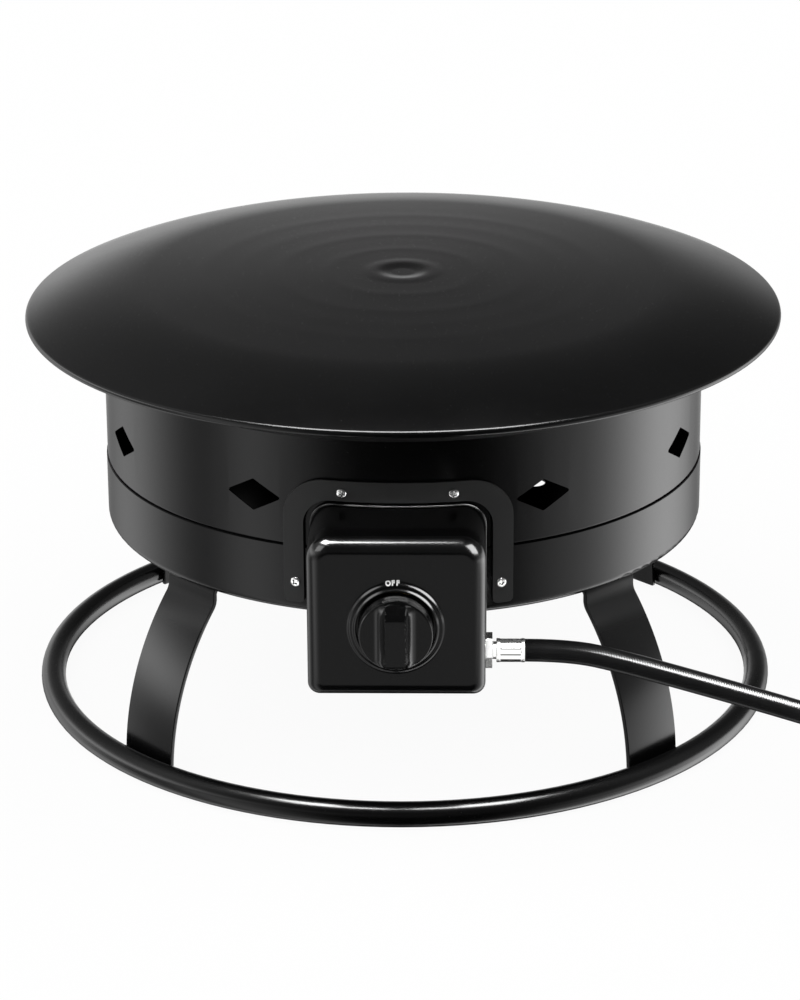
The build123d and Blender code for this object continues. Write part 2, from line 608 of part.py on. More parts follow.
# Orifice: brass hexagon screwed into the spigot, with the pipe's flare nut below
ORIFICE_TOP = BURNER_BASE - BURNER_SPIGOT_LENGTH
ORIFICE_LOW = ORIFICE_TOP - ORIFICE_HEX
with BuildPart() as burner_orifice:
    with BuildSketch(Plane.XY.offset(ORIFICE_TOP)):
        hexagon(ORIFICE_ACROSS)
    extrude(amount=-ORIFICE_HEX)
    with BuildSketch(Plane.XY.offset(ORIFICE_TOP)):
        Circle(BURNER_SPIGOT_BORE / 2 - RUNNING)
    extrude(amount=ORIFICE_THREAD)
    with Locations((0, 0, ORIFICE_TOP)):
        Cylinder(ORIFICE_BORE / 2, 4 * ORIFICE_HEX, mode=Mode.SUBTRACT)
save(burner_orifice, "burner_orifice")

# Gas pipe: level behind the valve's outlet, then sloping to its bend below the orifice
OUTLET_END = VALVE_REAR - OUTLET_HEX_LENGTH - OUTLET_NIPPLE
with BuildPart() as gas_pipe:
    with BuildLine() as pipe_route:
        FilletPolyline(
            (0, -OUTLET_END, VALVE_HEIGHT),
            (0, PIPE_LEAD - OUTLET_END, VALVE_HEIGHT),
            (0, 0, ORIFICE_LOW - PIPE_DROP),
            (0, 0, ORIFICE_LOW),
            radius=PIPE_BEND,
        )
    with BuildSketch(front_plane(OUTLET_END)):
        Circle(PIPE / 2)
        Circle(PIPE / 2 - PIPE_WALL, mode=Mode.SUBTRACT)
    sweep()
save(gas_pipe, "gas_pipe")

# Flare nuts: the first sits on the valve's outlet nipple, the second under the orifice
with BuildPart() as pipe_nuts:
    with BuildSketch(front_plane(OUTLET_END)):
        hexagon(PIPE_NUT_ACROSS)
        Circle(PIPE / 2 + RUNNING, mode=Mode.SUBTRACT)
    extrude(amount=-PIPE_NUT_LENGTH)
    with BuildSketch(Plane.XY.offset(ORIFICE_LOW)):
        hexagon(PIPE_NUT_ACROSS)
        Circle(PIPE / 2 + RUNNING, mode=Mode.SUBTRACT)
    extrude(amount=-PIPE_NUT_LENGTH)
save(pipe_nuts, "pipe_nuts")

# Leg bolts from below and their nuts in the pan
with BuildPart() as leg_bolts:
    with BuildSketch(Plane.XY.offset(LEG_TOP - LEG_STRIP / 2)):
        with Locations(*[(x, y) for x, y, _ in leg_bolt_places(0)]):
            hexagon(LEG_BOLT_ACROSS)
    extrude(amount=-LEG_BOLT_HEAD)
    with BuildSketch(Plane.XY.offset(LEG_TOP - LEG_STRIP / 2)):
        with Locations(*[(x, y) for x, y, _ in leg_bolt_places(0)]):
            Circle(LEG_BOLT / 2)
    extrude(amount=LEG_STRIP + PAN_SHEET + LEG_NUT_HEIGHT + LEG_BOLT_TIP)
save(leg_bolts, "leg_bolts")

with BuildPart() as leg_nuts:
    with BuildSketch(Plane.XY.offset(PAN_BOTTOM + PAN_SHEET)):
        with Locations(*[(x, y) for x, y, _ in leg_bolt_places(0)]):
            hexagon(LEG_BOLT_ACROSS)
            Circle(LEG_BOLT / 2 + RUNNING, mode=Mode.SUBTRACT)
    extrude(amount=LEG_NUT_HEIGHT)
save(leg_nuts, "leg_nuts")

# Control box: moulded shell, open at the back where it meets the drum, closed below the pan


def box_outline(inset):
    """Sketch the box's front outline, drawn in by an inset."""
    with Locations((0, BOX_LOW + BOX_HEIGHT / 2)):
        Rectangle(BOX_WIDTH - 2 * inset, BOX_HEIGHT - 2 * inset)


with BuildPart() as box_cavity:
    with BuildSketch(Plane.XZ) as cavity_outline:
        box_outline(BOX_WALL)
        fillet(cavity_outline.vertices().group_by(Axis.Y)[-1], BOX_TOP_CORNER - BOX_WALL)
        fillet(cavity_outline.vertices().group_by(Axis.Y)[0], BOX_LOW_CORNER - BOX_WALL)
    extrude(amount=BOX_FRONT - BOX_WALL)
    with BuildSketch(Plane.XY.offset(BOX_LOW)):
        Circle(FLANGE_RADIUS + BOX_WALL)
    extrude(amount=BOX_DROP + PAN_CORNER + BOX_WALL, mode=Mode.SUBTRACT)
    for azimuth, height in BOX_SCREWS:
        with BuildSketch(outward_plane(azimuth, FLANGE_RADIUS - CUT_REACH, height)):
            Rectangle(BOX_TAB_WIDTH, BOX_TAB_HEIGHT)
        extrude(amount=CUT_REACH + BOX_WALL, mode=Mode.SUBTRACT)

with BuildPart() as control_box:
    with BuildSketch(Plane.XZ) as outline:
        box_outline(0)
        fillet(outline.vertices().group_by(Axis.Y)[-1], BOX_TOP_CORNER)
        fillet(outline.vertices().group_by(Axis.Y)[0], BOX_LOW_CORNER)
    extrude(amount=BOX_FRONT)
    fillet(control_box.faces().sort_by(Axis.Y)[0].edges(), BOX_EDGE)
    add(box_cavity.part, mode=Mode.SUBTRACT)
    with BuildSketch(Plane.XY.offset(BOX_LOW - CUT_REACH)):
        Circle(FLANGE_RADIUS)
    extrude(amount=BOX_HEIGHT + 2 * CUT_REACH, mode=Mode.SUBTRACT)
    with BuildSketch(front_plane(VALVE_FRONT - CUT_REACH)):
        Circle(VALVE_COLLAR / 2 + FIT)
    extrude(amount=BOX_WALL + 2 * CUT_REACH, mode=Mode.SUBTRACT)
    with Locations((BOX_WIDTH / 2, -INLET_DEPTH, INLET_HEIGHT)):
        Cylinder(INLET_TUBE / 2 + FIT, 4 * BOX_WALL, rotation=(0, 90, 0), mode=Mode.SUBTRACT)
    add(screw_holes.part, mode=Mode.SUBTRACT)
save(control_box, "control_box")

# Box screws: from inside the drum, through its wall, into the box's tabs
with BuildPart() as box_screws:
    for azimuth, height in BOX_SCREWS:
        inner = SHROUD_LIP_RADIUS - SHROUD_SHEET
        screw(azimuth, inner - SCREW_HEAD ** 2 / 8 / inner, height, outwards=-1)
save(box_screws, "box_screws")

# Knob bezel: a ring moulded with a round crest, flat on the box's face
with BuildPart() as knob_bezel:
    with BuildSketch(Plane.YZ):
        with BuildLine():
            inner_edge = (-BOX_FRONT, VALVE_HEIGHT + BEZEL_IN)
            outer_edge = (-BOX_FRONT, VALVE_HEIGHT + BEZEL_IN + BEZEL_WIDTH)
            crest = (-BOX_FRONT - BEZEL_HEIGHT, VALVE_HEIGHT + BEZEL_IN + BEZEL_CREST_IN)
            Line(inner_edge, outer_edge)
            Spline(outer_edge, crest, inner_edge)
        make_face()
    revolve(axis=Axis((0, 0, VALVE_HEIGHT), (0, 1, 0)))
save(knob_bezel, "knob_bezel")

# Valve body: barrel on the knob's axis, threaded collar in front, leg down to the inlet
with BuildPart() as valve_body:
    with BuildSketch(front_plane(VALVE_REAR)):
        Circle(VALVE_BODY / 2)
    extrude(amount=VALVE_FRONT - VALVE_REAR)
    with BuildSketch(front_plane(VALVE_FRONT)):
        Circle(VALVE_COLLAR / 2)
    extrude(amount=VALVE_COLLAR_LENGTH)
    with BuildSketch(Plane.XY.offset(VALVE_HEIGHT)):
        with Locations((0, -INLET_DEPTH)):
            Rectangle(VALVE_LEG, 2 * (INLET_DEPTH - VALVE_REAR))
    extrude(amount=INLET_HEIGHT - INLET_TUBE / 2 - VALVE_LEG_FLOOR - VALVE_HEIGHT)
    with BuildSketch(Plane.YZ):
        with Locations((-INLET_DEPTH, INLET_HEIGHT)):
            Circle(INLET_TUBE / 2)
    extrude(amount=BOX_WIDTH / 2 + INLET_NUT_LENGTH)
    with BuildSketch(Plane.YZ):
        with Locations((-INLET_DEPTH, INLET_HEIGHT)):
            Circle(INLET_BORE / 2)
    extrude(amount=BOX_WIDTH, mode=Mode.SUBTRACT)
    with BuildSketch(front_plane(VALVE_REAR)):
        Circle(VALVE_BORE / 2)
    extrude(amount=VALVE_FRONT - VALVE_FACE - VALVE_REAR, mode=Mode.SUBTRACT)
    with BuildSketch(front_plane(VALVE_REAR)):
        Circle(STEM / 2 + RUNNING)
    extrude(amount=BOX_FRONT, mode=Mode.SUBTRACT)
save(valve_body, "valve_body")

with BuildPart() as valve_nut:
    with BuildSketch(front_plane(BOX_FRONT)):
        hexagon(VALVE_NUT_ACROSS)
        Circle(VALVE_COLLAR / 2 + RUNNING, mode=Mode.SUBTRACT)
    extrude(amount=VALVE_NUT_HEIGHT)
save(valve_nut, "valve_nut")

# Valve outlet: closes the barrel's rear end and carries the pipe's nipple
with BuildPart() as valve_outlet:
    with BuildSketch(front_plane(VALVE_REAR)):
        Circle(VALVE_BORE / 2 - RUNNING)
    extrude(amount=OUTLET_THREAD)
    with BuildSketch(front_plane(VALVE_REAR)):
        hexagon(OUTLET_HEX)
    extrude(amount=-OUTLET_HEX_LENGTH)
    with BuildSketch(front_plane(VALVE_REAR)):
        Circle(PIPE / 2)
    extrude(amount=-OUTLET_HEX_LENGTH - OUTLET_NIPPLE)
    with BuildSketch(front_plane(OUTLET_END - CUT_REACH)):
        Circle(PIPE / 2 - PIPE_WALL)
    extrude(amount=VALVE_REAR, mode=Mode.SUBTRACT)
save(valve_outlet, "valve_outlet")


def flatted_circle(radius, flat):
    """Sketch a circle with one flat at a distance from its centre."""
    Circle(radius)
    with Locations((0, flat + radius)):
        Rectangle(2 * radius, 2 * radius, mode=Mode.SUBTRACT)


# Valve plug: turns in the barrel and takes the stem, which slides in its flatted hole
PLUG_FRONT = VALVE_FRONT - VALVE_FACE - RUNNING
PLUG_REAR = PLUG_FRONT - PLUG_LENGTH
with BuildPart() as valve_plug:
    with BuildSketch(front_plane(PLUG_REAR)):
        Circle(VALVE_BORE / 2 - RUNNING)
    extrude(amount=PLUG_LENGTH)
    with BuildSketch(front_plane(PLUG_REAR + PLUG_END)):
        flatted_circle(STEM / 2 + RUNNING, STEM_FLAT + RUNNING)
    extrude(amount=PLUG_LENGTH, mode=Mode.SUBTRACT)
    with BuildSketch(Plane.XY.offset(VALVE_HEIGHT - VALVE_BODY)):
        with Locations((0, -PLUG_REAR - PLUG_PORT)):
            Circle(PLUG_PORT / 2)
    extrude(amount=VALVE_BODY, mode=Mode.SUBTRACT)
save(valve_plug, "valve_plug")

# Valve stem: flatted along its whole length, in the plug behind and in the knob's hub in front
STEM_REAR = PLUG_FRONT - STEM_IN_PLUG
HUB_BACK = VALVE_FRONT + VALVE_COLLAR_LENGTH + KNOB_TRAVEL + HUB_STOP
STEM_FRONT = HUB_BACK + STEM_IN_HUB
with BuildPart() as valve_stem:
    with BuildSketch(front_plane(STEM_REAR)):
        flatted_circle(STEM / 2, STEM_FLAT)
    extrude(amount=STEM_FRONT - STEM_REAR)
save(valve_stem, "valve_stem")

# Knob: hollow skirt, hub for the stem and a waisted grip bar
with BuildPart() as knob:
    with BuildSketch(front_plane(KNOB_BACK)):
        Circle(KNOB_SKIRT / 2)
    with BuildSketch(front_plane(KNOB_FRONT)):
        Circle(KNOB_FACE / 2)
    loft()
    fillet(knob.faces().sort_by(Axis.Y)[0].edges(), KNOB_WALL)
    with BuildSketch(front_plane(KNOB_BACK)):
        Circle(KNOB_SKIRT / 2 - KNOB_WALL)
    with BuildSketch(front_plane(KNOB_FRONT - KNOB_WALL)):
        Circle(KNOB_FACE / 2 - KNOB_WALL)
    loft(mode=Mode.SUBTRACT)
    with BuildSketch(front_plane(KNOB_FRONT)) as grip_foot:
        RectangleRounded(
            KNOB_GRIP_WIDTH + KNOB_GRIP_FLARE,
            KNOB_GRIP_LENGTH + 1.5 * KNOB_GRIP_FLARE,
            KNOB_GRIP_WIDTH / 3,
        )
    with BuildSketch(front_plane(GRIP_TOP)):
        RectangleRounded(KNOB_GRIP_WIDTH, KNOB_GRIP_LENGTH, KNOB_GRIP_WIDTH / 3)
    loft()
    fillet(knob.faces().sort_by(Axis.Y)[0].edges(), KNOB_WALL / 2)
    with BuildSketch(front_plane(HUB_BACK)):
        Circle(KNOB_HUB / 2)
    extrude(amount=KNOB_FRONT - HUB_BACK)
    with BuildSketch(front_plane(HUB_BACK)):
        flatted_circle(STEM / 2 + RUNNING, STEM_FLAT + RUNNING)
    extrude(amount=STEM_FRONT - HUB_BACK, mode=Mode.SUBTRACT)
save(knob, "knob")

# Inlet nut: holds the valve's inlet tube in the box's side wall
with BuildPart() as inlet_nut:
    with BuildSketch(Plane.YZ.offset(BOX_WIDTH / 2)):
        with Locations((-INLET_DEPTH, INLET_HEIGHT)):
            hexagon(INLET_NUT_ACROSS)
            Circle(INLET_TUBE / 2 + RUNNING, mode=Mode.SUBTRACT)
    extrude(amount=INLET_NUT_LENGTH)
save(inlet_nut, "inlet_nut")


def crimped_ferrule(start, length):
    """Add a ferrule along a plane's normal: neck, collar, flatted crimp and end bead."""
    with BuildSketch(start) as neck:
        Circle(FERRULE_NECK / 2)
    with BuildSketch(start.offset(FERRULE_NECK_LENGTH)) as collar:
        Circle(FERRULE / 2)
    with BuildSketch(start.offset(FERRULE_NECK_LENGTH + FERRULE_COLLAR)) as crimp:
        RegularPolygon(radius=FERRULE / 2 - FERRULE_CRIMP, side_count=8, major_radius=False)
    with BuildSketch(start.offset(FERRULE_NECK_LENGTH + length - FERRULE_COLLAR)) as bead:
        Circle(FERRULE / 2)
    extrude(neck.sketch, amount=FERRULE_NECK_LENGTH)
    extrude(collar.sketch, amount=FERRULE_COLLAR)
    extrude(crimp.sketch, amount=length - 2 * FERRULE_COLLAR)
    extrude(bead.sketch, amount=FERRULE_COLLAR)


with BuildPart() as hose_ferrule:
    crimped_ferrule(
        Plane(
            origin=(BOX_WIDTH / 2 + INLET_NUT_LENGTH, -INLET_DEPTH, INLET_HEIGHT),
            x_dir=(0, 1, 0),
            z_dir=(1, 0, 0),
        ),
        FERRULE_LENGTH,
    )
save(hose_ferrule, "hose_ferrule")

# Points of the hose between the inlet and the coil: it sags to the ground and runs on level
HOSE_START = BOX_WIDTH / 2 + INLET_NUT_LENGTH + FERRULE_NECK_LENGTH + FERRULE_LENGTH
HOSE_LEAD_POINTS = (
    (HOSE_START, -INLET_DEPTH, INLET_HEIGHT),
    (104.0, -INLET_DEPTH, INLET_HEIGHT),
    (136.0, -INLET_DEPTH, 105.6),
    (176.0, -INLET_DEPTH, 93.8),
    (222.0, -INLET_DEPTH, 79.8),
    (266.0, -INLET_DEPTH, 65.6),
    (303.0, -INLET_DEPTH, 47.8),
    (334.0, -INLET_DEPTH, 28.4),
    (359.0, -INLET_DEPTH, 14.6),
    (380.0, -INLET_DEPTH, 8.6),
    (394.0, -INLET_DEPTH, HOSE / 2),
    (406.0, -INLET_DEPTH, HOSE / 2),
)


def corner_radii(points):
    """Arc radii for a hose's corners: 0.45 of the shorter run over the tangent of half the turn."""
    radii = []
    for before, corner, after in zip(points, points[1:], points[2:]):
        run_in = Vector(corner) - Vector(before)
        run_out = Vector(after) - Vector(corner)
        turn = radians(run_in.get_angle(run_out))
        radii.append(0.45 * min(run_in.length, run_out.length) / tan(turn / 2))
    return radii


def hose_stretch(points, label):
    """Sweep a free stretch of hose along straight runs and tangent arcs, and print its figures."""
    radii = corner_radii(points)
    with BuildPart() as stretch:
        with BuildLine() as route:
            FilletPolyline(*points, radius=radii)
        start = Plane(origin=points[0], z_dir=Vector(points[1]) - Vector(points[0]))
        with BuildSketch(start):
            Circle(HOSE / 2)
        sweep()
    save(stretch, label)
    length = route.wire().length
    section = pi * (HOSE / 2) ** 2
    print(label, "radii", [round(r) for r in radii], "length", round(length, 1))
    print(label, "volume over section x length", round(stretch.part.volume / (section * length), 4))
    return length


# The coil: two layers that spiral in and out again about one centre
COIL_HALF = COIL_TURNS / 2
COIL_INNER = COIL_MIDDLE_RADIUS - COIL_PITCH * COIL_HALF / 2
COIL_OUTER = COIL_INNER + COIL_PITCH * COIL_HALF
COIL_CENTRE_Y = COIL_OUTER - INLET_DEPTH


def coil_point(turn):
    """Centre line of the coil at a turn counted from its start."""
    from_reversal = turn - COIL_HALF
    radius = COIL_INNER + COIL_PITCH * abs(from_reversal)
    rise = min(1.0, max(0.0, 0.5 + from_reversal / (2 * COIL_CLIMB)))
    rise = rise * rise * (3 - 2 * rise)
    angle = 2 * pi * turn - pi / 2
    return Vector(
        COIL_CENTRE_X + radius * cos(angle),
        COIL_CENTRE_Y + radius * sin(angle),
        HOSE / 2 + COIL_LAYER * rise,
    )


def coil_direction(turn):
    """Direction of the centre line at a turn: level and square to the radius at both ends."""
    if turn <= 0 or turn >= COIL_TURNS:
        angle = 2 * pi * turn
        return Vector(cos(angle), sin(angle), 0)
    return (coil_point(turn + 1e-4) - coil_point(turn - 1e-4)).normalized()


def biarc_joint(start, start_way, end, end_way):
    """Point where two tangent arcs of equal reach meet between two points with given directions."""
    chord = end - start
    ways = start_way + end_way
    lack = 2 * (1 - start_way.dot(end_way))
    along = chord.dot(ways)
    reach = (-along + sqrt(along ** 2 + lack * chord.dot(chord))) / lack
    return (start + start_way * reach + end - end_way * reach) * 0.5


with BuildPart() as hose_coil:
    steps = [COIL_TURNS * n / round(4 * COIL_TURNS) for n in range(round(4 * COIL_TURNS) + 1)]
    with BuildLine() as coil_route:
        first = coil_point(0)
        last = coil_point(COIL_TURNS)
        Line(first - coil_direction(0) * COIL_END, first)
        for turn, after in zip(steps, steps[1:]):
            a, b = coil_point(turn), coil_point(after)
            joint = biarc_joint(a, coil_direction(turn), b, coil_direction(after))
            TangentArc(a, joint, tangent=coil_direction(turn))
            TangentArc(b, joint, tangent=coil_direction(after) * -1)
        Line(last, last + coil_direction(COIL_TURNS) * COIL_END)
    with BuildSketch(Plane(origin=first - coil_direction(0) * COIL_END, z_dir=coil_direction(0))):
        Circle(HOSE / 2)
    sweep()
save(hose_coil, "hose_coil")


def coil_gap():
    """Least gap of the coil's tube to itself, measured on points of its centre line."""
    count = 48
    points = [coil_point(n / count) for n in range(int(COIL_TURNS * count) + 1)]
    nearest = min(
        (points[i] - points[j]).length
        for i in range(len(points))
        for j in range(i + count // 2, len(points))
    )
    return nearest - HOSE


coil_length = coil_route.wire().length
print("hose_coil length", round(coil_length, 1), "least gap", round(coil_gap(), 2))
print(
    "hose_coil volume over section x length",
    round(hose_coil.part.volume / (pi * (HOSE / 2) ** 2 * coil_length), 4),
)

# The tail: from the top layer to the regulator, along +Y
TAIL_X = COIL_CENTRE_X + COIL_OUTER
TAIL_START = COIL_CENTRE_Y + COIL_END
COUPLING_HEIGHT = NUT_RADIUS
UPPER_LAYER = HOSE / 2 + COIL_LAYER
TAIL_LENGTH = 2 * (TAIL_END + TAIL_RUN)
REG_X = TAIL_X - TAIL_SIDE
HOSE_TAIL_POINTS = (
    (TAIL_X, TAIL_START, UPPER_LAYER),
    (TAIL_X, TAIL_START + TAIL_END, UPPER_LAYER),
    (TAIL_X - TAIL_FIRST_SIDE, TAIL_START + TAIL_END + TAIL_RUN, UPPER_LAYER + TAIL_FIRST_LIFT),
    (REG_X, TAIL_START + TAIL_LENGTH - TAIL_END, COUPLING_HEIGHT),
    (REG_X, TAIL_START + TAIL_LENGTH, COUPLING_HEIGHT),
)
lead_length = hose_stretch(HOSE_LEAD_POINTS, "hose_lead")
tail_length = hose_stretch(HOSE_TAIL_POINTS, "hose_tail")
print("hose length in all", round(lead_length + coil_length + tail_length, 1))

# Regulator: ferrule, body with two bosses, bonnet, screws, and the inlet nipple
FERRULE_END = TAIL_START + TAIL_LENGTH + REGULATOR_FERRULE_LENGTH + FERRULE_NECK_LENGTH
REG_Y = FERRULE_END + REGULATOR_BOSS_LENGTH + REGULATOR_LOWER_RADIUS
REG_FRONT = REG_Y + REGULATOR_LOWER_RADIUS + REGULATOR_BOSS_LENGTH
FLANGE_BASE = COUPLING_HEIGHT + REGULATOR_BOSS / 2 - REGULATOR_FLANGE
SCREW_CIRCLE = REGULATOR_RADIUS - REGULATOR_SCREW_IN


def coupling_plane(distance):
    """Plane square to the coupling's axis at a distance along Y."""
    return Plane(origin=(REG_X, distance, COUPLING_HEIGHT), x_dir=(1, 0, 0), z_dir=(0, 1, 0))


with BuildPart() as regulator_ferrule:
    crimped_ferrule(
        Plane(origin=(REG_X, FERRULE_END, COUPLING_HEIGHT), x_dir=(1, 0, 0), z_dir=(0, -1, 0)),
        REGULATOR_FERRULE_LENGTH,
    )
save(regulator_ferrule, "regulator_ferrule")

with BuildPart() as regulator_body:
    with BuildSketch(Plane.XY.offset(FLANGE_BASE + REGULATOR_FLANGE)):
        with Locations((REG_X, REG_Y)):
            Circle(REGULATOR_RADIUS)
    extrude(amount=-REGULATOR_FLANGE)
    with BuildSketch(Plane.XY.offset(FLANGE_BASE)):
        with Locations((REG_X, REG_Y)):
            Circle(REGULATOR_LOWER_RADIUS)
    extrude(amount=REGULATOR_FLANGE - REGULATOR_BOSS / 2 - REGULATOR_LOWER, taper=REGULATOR_DRAFT)
    with BuildSketch(coupling_plane(FERRULE_END)):
        Circle(REGULATOR_BOSS / 2)
    extrude(amount=REG_FRONT - FERRULE_END)
save(regulator_body, "regulator_body")

BONNET_BASE = FLANGE_BASE + REGULATOR_FLANGE
with BuildPart() as regulator_bonnet:
    with BuildSketch(Plane.XY.offset(BONNET_BASE)):
        with Locations((REG_X, REG_Y)):
            Circle(REGULATOR_RADIUS)
    extrude(amount=REGULATOR_FLANGE / 2)
    with BuildSketch(Plane.XY.offset(BONNET_BASE + REGULATOR_FLANGE / 2)):
        with Locations((REG_X, REG_Y)):
            Circle(REGULATOR_LOWER_RADIUS - BONNET_STEP)
    extrude(amount=REGULATOR_BONNET, taper=BONNET_DRAFT)
    with BuildSketch(Plane.XY.offset(BONNET_BASE + REGULATOR_FLANGE / 2 + REGULATOR_BONNET)):
        with Locations((REG_X, REG_Y)):
            Circle(REGULATOR_CAP_RADIUS)
    extrude(amount=REGULATOR_CAP, taper=CAP_DRAFT)
    bonnet_vent_x = REG_X + REGULATOR_LOWER_RADIUS - BONNET_VENT_IN
    with Locations((bonnet_vent_x, REG_Y, BONNET_BASE + REGULATOR_FLANGE)):
        Cylinder(BONNET_VENT / 2, REGULATOR_BONNET, mode=Mode.SUBTRACT)
    with BuildSketch(Plane.XY.offset(BONNET_BASE)):
        with Locations((REG_X, REG_Y)):
            with PolarLocations(SCREW_CIRCLE, REGULATOR_SCREWS, start_angle=30):
                Circle(REGULATOR_SCREW / 2 + SCREW_PLAY)
    extrude(amount=REGULATOR_FLANGE, mode=Mode.SUBTRACT)
save(regulator_bonnet, "regulator_bonnet")

with BuildPart() as regulator_screws:
    with BuildSketch(Plane.XY.offset(BONNET_BASE + REGULATOR_FLANGE / 2)):
        with Locations((REG_X, REG_Y)):
            with PolarLocations(SCREW_CIRCLE, REGULATOR_SCREWS, start_angle=30):
                Circle(SCREW_HEAD / 2 - FIT)
    extrude(amount=SCREW_HEAD_HEIGHT)
    with BuildSketch(Plane.XY.offset(BONNET_BASE)):
        with Locations((REG_X, REG_Y)):
            with PolarLocations(SCREW_CIRCLE, REGULATOR_SCREWS, start_angle=30):
                Circle(REGULATOR_SCREW / 2)
    extrude(amount=REGULATOR_FLANGE / 2)
save(regulator_screws, "regulator_screws")

# Coupling nut: turns on the nipple, with a lead-in mouth in front of its threaded bore
NUT_REAR = REG_FRONT + REGULATOR_NECK
NUT_FRONT = NUT_REAR + NUT_LENGTH
with BuildPart() as coupling_nut:
    with BuildSketch(coupling_plane(NUT_REAR)):
        Circle(NUT_RADIUS)
    extrude(amount=NUT_LENGTH)
    chamfer(coupling_nut.edges().filter_by(GeomType.CIRCLE), NUT_GRIP_DEPTH)
    with BuildSketch(coupling_plane(NUT_REAR)):
        with PolarLocations(NUT_RADIUS + NUT_GRIP_DEPTH, NUT_GRIPS, start_angle=90 + 180 / NUT_GRIPS):
            Circle(2 * NUT_GRIP_DEPTH)
    extrude(amount=NUT_LENGTH, mode=Mode.SUBTRACT)
    with BuildSketch(coupling_plane(NUT_REAR + NUT_BACK)):
        Circle(NUT_BORE / 2)
    extrude(amount=NUT_LENGTH, mode=Mode.SUBTRACT)
    with BuildSketch(coupling_plane(NUT_FRONT - NUT_MOUTH_LENGTH)):
        Circle(NUT_BORE / 2 + NUT_LEAD_IN)
    extrude(amount=NUT_MOUTH_LENGTH, mode=Mode.SUBTRACT)
    with BuildSketch(coupling_plane(NUT_REAR)):
        Circle(NIPPLE / 2 + RUNNING)
    extrude(amount=NUT_LENGTH, mode=Mode.SUBTRACT)
save(coupling_nut, "coupling_nut")

# Nipple: its flange holds the nut's back wall, and its nose carries the seal
NIPPLE_STEP = NUT_REAR + NUT_BACK + FIT
NOSE_START = NIPPLE_STEP + NIPPLE_FLANGE_LENGTH
NOSE_END = NUT_FRONT - NUT_MOUTH_LENGTH - NIPPLE_SETBACK
with BuildPart() as regulator_nipple:
    with BuildSketch(coupling_plane(REG_FRONT)):
        Circle(NIPPLE / 2)
    extrude(amount=NIPPLE_STEP - REG_FRONT)
    with BuildSketch(coupling_plane(NIPPLE_STEP)):
        Circle(NIPPLE_FLANGE / 2)
    extrude(amount=NIPPLE_FLANGE_LENGTH)
    with BuildSketch(coupling_plane(NOSE_START)):
        Circle(NIPPLE_NOSE / 2)
    extrude(amount=NOSE_END - NOSE_START)
    chamfer(regulator_nipple.faces().sort_by(Axis.Y)[-1].edges(), NIPPLE_NOSE / 6)
    with BuildSketch(coupling_plane(REG_FRONT)):
        Circle(NIPPLE_BORE / 2)
    extrude(amount=NUT_LENGTH + REGULATOR_NECK, mode=Mode.SUBTRACT)
save(regulator_nipple, "regulator_nipple")

with BuildPart() as nipple_seal:
    with BuildSketch(coupling_plane(NOSE_END - NIPPLE_NOSE / 4 - SEAL_LENGTH)):
        Circle(SEAL / 2)
        Circle(NIPPLE_NOSE / 2, mode=Mode.SUBTRACT)
    extrude(amount=SEAL_LENGTH)
save(nipple_seal, "nipple_seal")
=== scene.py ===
import json
import math

import bmesh
import bpy
import numpy as np
from bpy.props import FloatProperty, FloatVectorProperty, PointerProperty
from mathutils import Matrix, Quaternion, Vector

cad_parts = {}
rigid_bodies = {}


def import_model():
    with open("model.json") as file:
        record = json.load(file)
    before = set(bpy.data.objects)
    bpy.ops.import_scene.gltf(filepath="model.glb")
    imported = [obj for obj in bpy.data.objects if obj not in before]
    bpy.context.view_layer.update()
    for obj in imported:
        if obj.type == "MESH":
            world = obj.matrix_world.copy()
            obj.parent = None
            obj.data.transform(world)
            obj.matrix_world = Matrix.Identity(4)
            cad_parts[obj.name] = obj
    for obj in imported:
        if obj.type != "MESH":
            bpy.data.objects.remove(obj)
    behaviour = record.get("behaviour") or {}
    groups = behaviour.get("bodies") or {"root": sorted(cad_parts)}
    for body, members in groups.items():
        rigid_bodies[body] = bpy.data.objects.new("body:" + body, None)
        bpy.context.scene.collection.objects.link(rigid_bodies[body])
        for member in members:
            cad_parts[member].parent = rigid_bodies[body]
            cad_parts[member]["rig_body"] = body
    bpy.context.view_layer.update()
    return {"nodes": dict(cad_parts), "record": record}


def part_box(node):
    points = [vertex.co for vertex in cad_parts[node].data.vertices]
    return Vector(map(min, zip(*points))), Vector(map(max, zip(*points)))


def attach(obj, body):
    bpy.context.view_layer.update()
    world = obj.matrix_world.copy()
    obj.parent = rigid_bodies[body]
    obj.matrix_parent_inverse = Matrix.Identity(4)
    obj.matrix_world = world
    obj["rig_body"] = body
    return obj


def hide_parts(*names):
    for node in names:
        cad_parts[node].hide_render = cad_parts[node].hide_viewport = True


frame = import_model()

bl_info = {
    "name": "Portable Propane Fire Pit",
    "version": (1, 0, 0),
    "blender": (4, 5, 0),
    "location": "3D View > Sidebar > Fire Pit",
    "description": "Builds the surfaces, finishes and studio of a portable propane fire pit",
    "category": "Object",
}

# Lengths are in metres. +Z is up, the control box faces -Y and the hose leaves towards +X.
FLANGE_FACE = 0.1944    # radius of the control flange's face
BOX_FACE = 0.2560       # of the box's face before the Z axis
KNOB_HEIGHT = 0.1410    # of the knob's axis
KNOB_FACE_AT = 0.2690   # of the knob's face before the Z axis


# ---- sizes and colours

def a_length(label, text, value):
    """Property for a length."""
    return FloatProperty(name=label, description=text, default=value, unit="LENGTH")


def a_number(label, text, value, subtype="NONE"):
    """Property for a bare number, a share or an angle."""
    return FloatProperty(name=label, description=text, default=value, subtype=subtype)


def a_colour(label, text, value):
    """Property for a colour."""
    return FloatVectorProperty(name=label, description=text, default=value, subtype="COLOR", size=3)


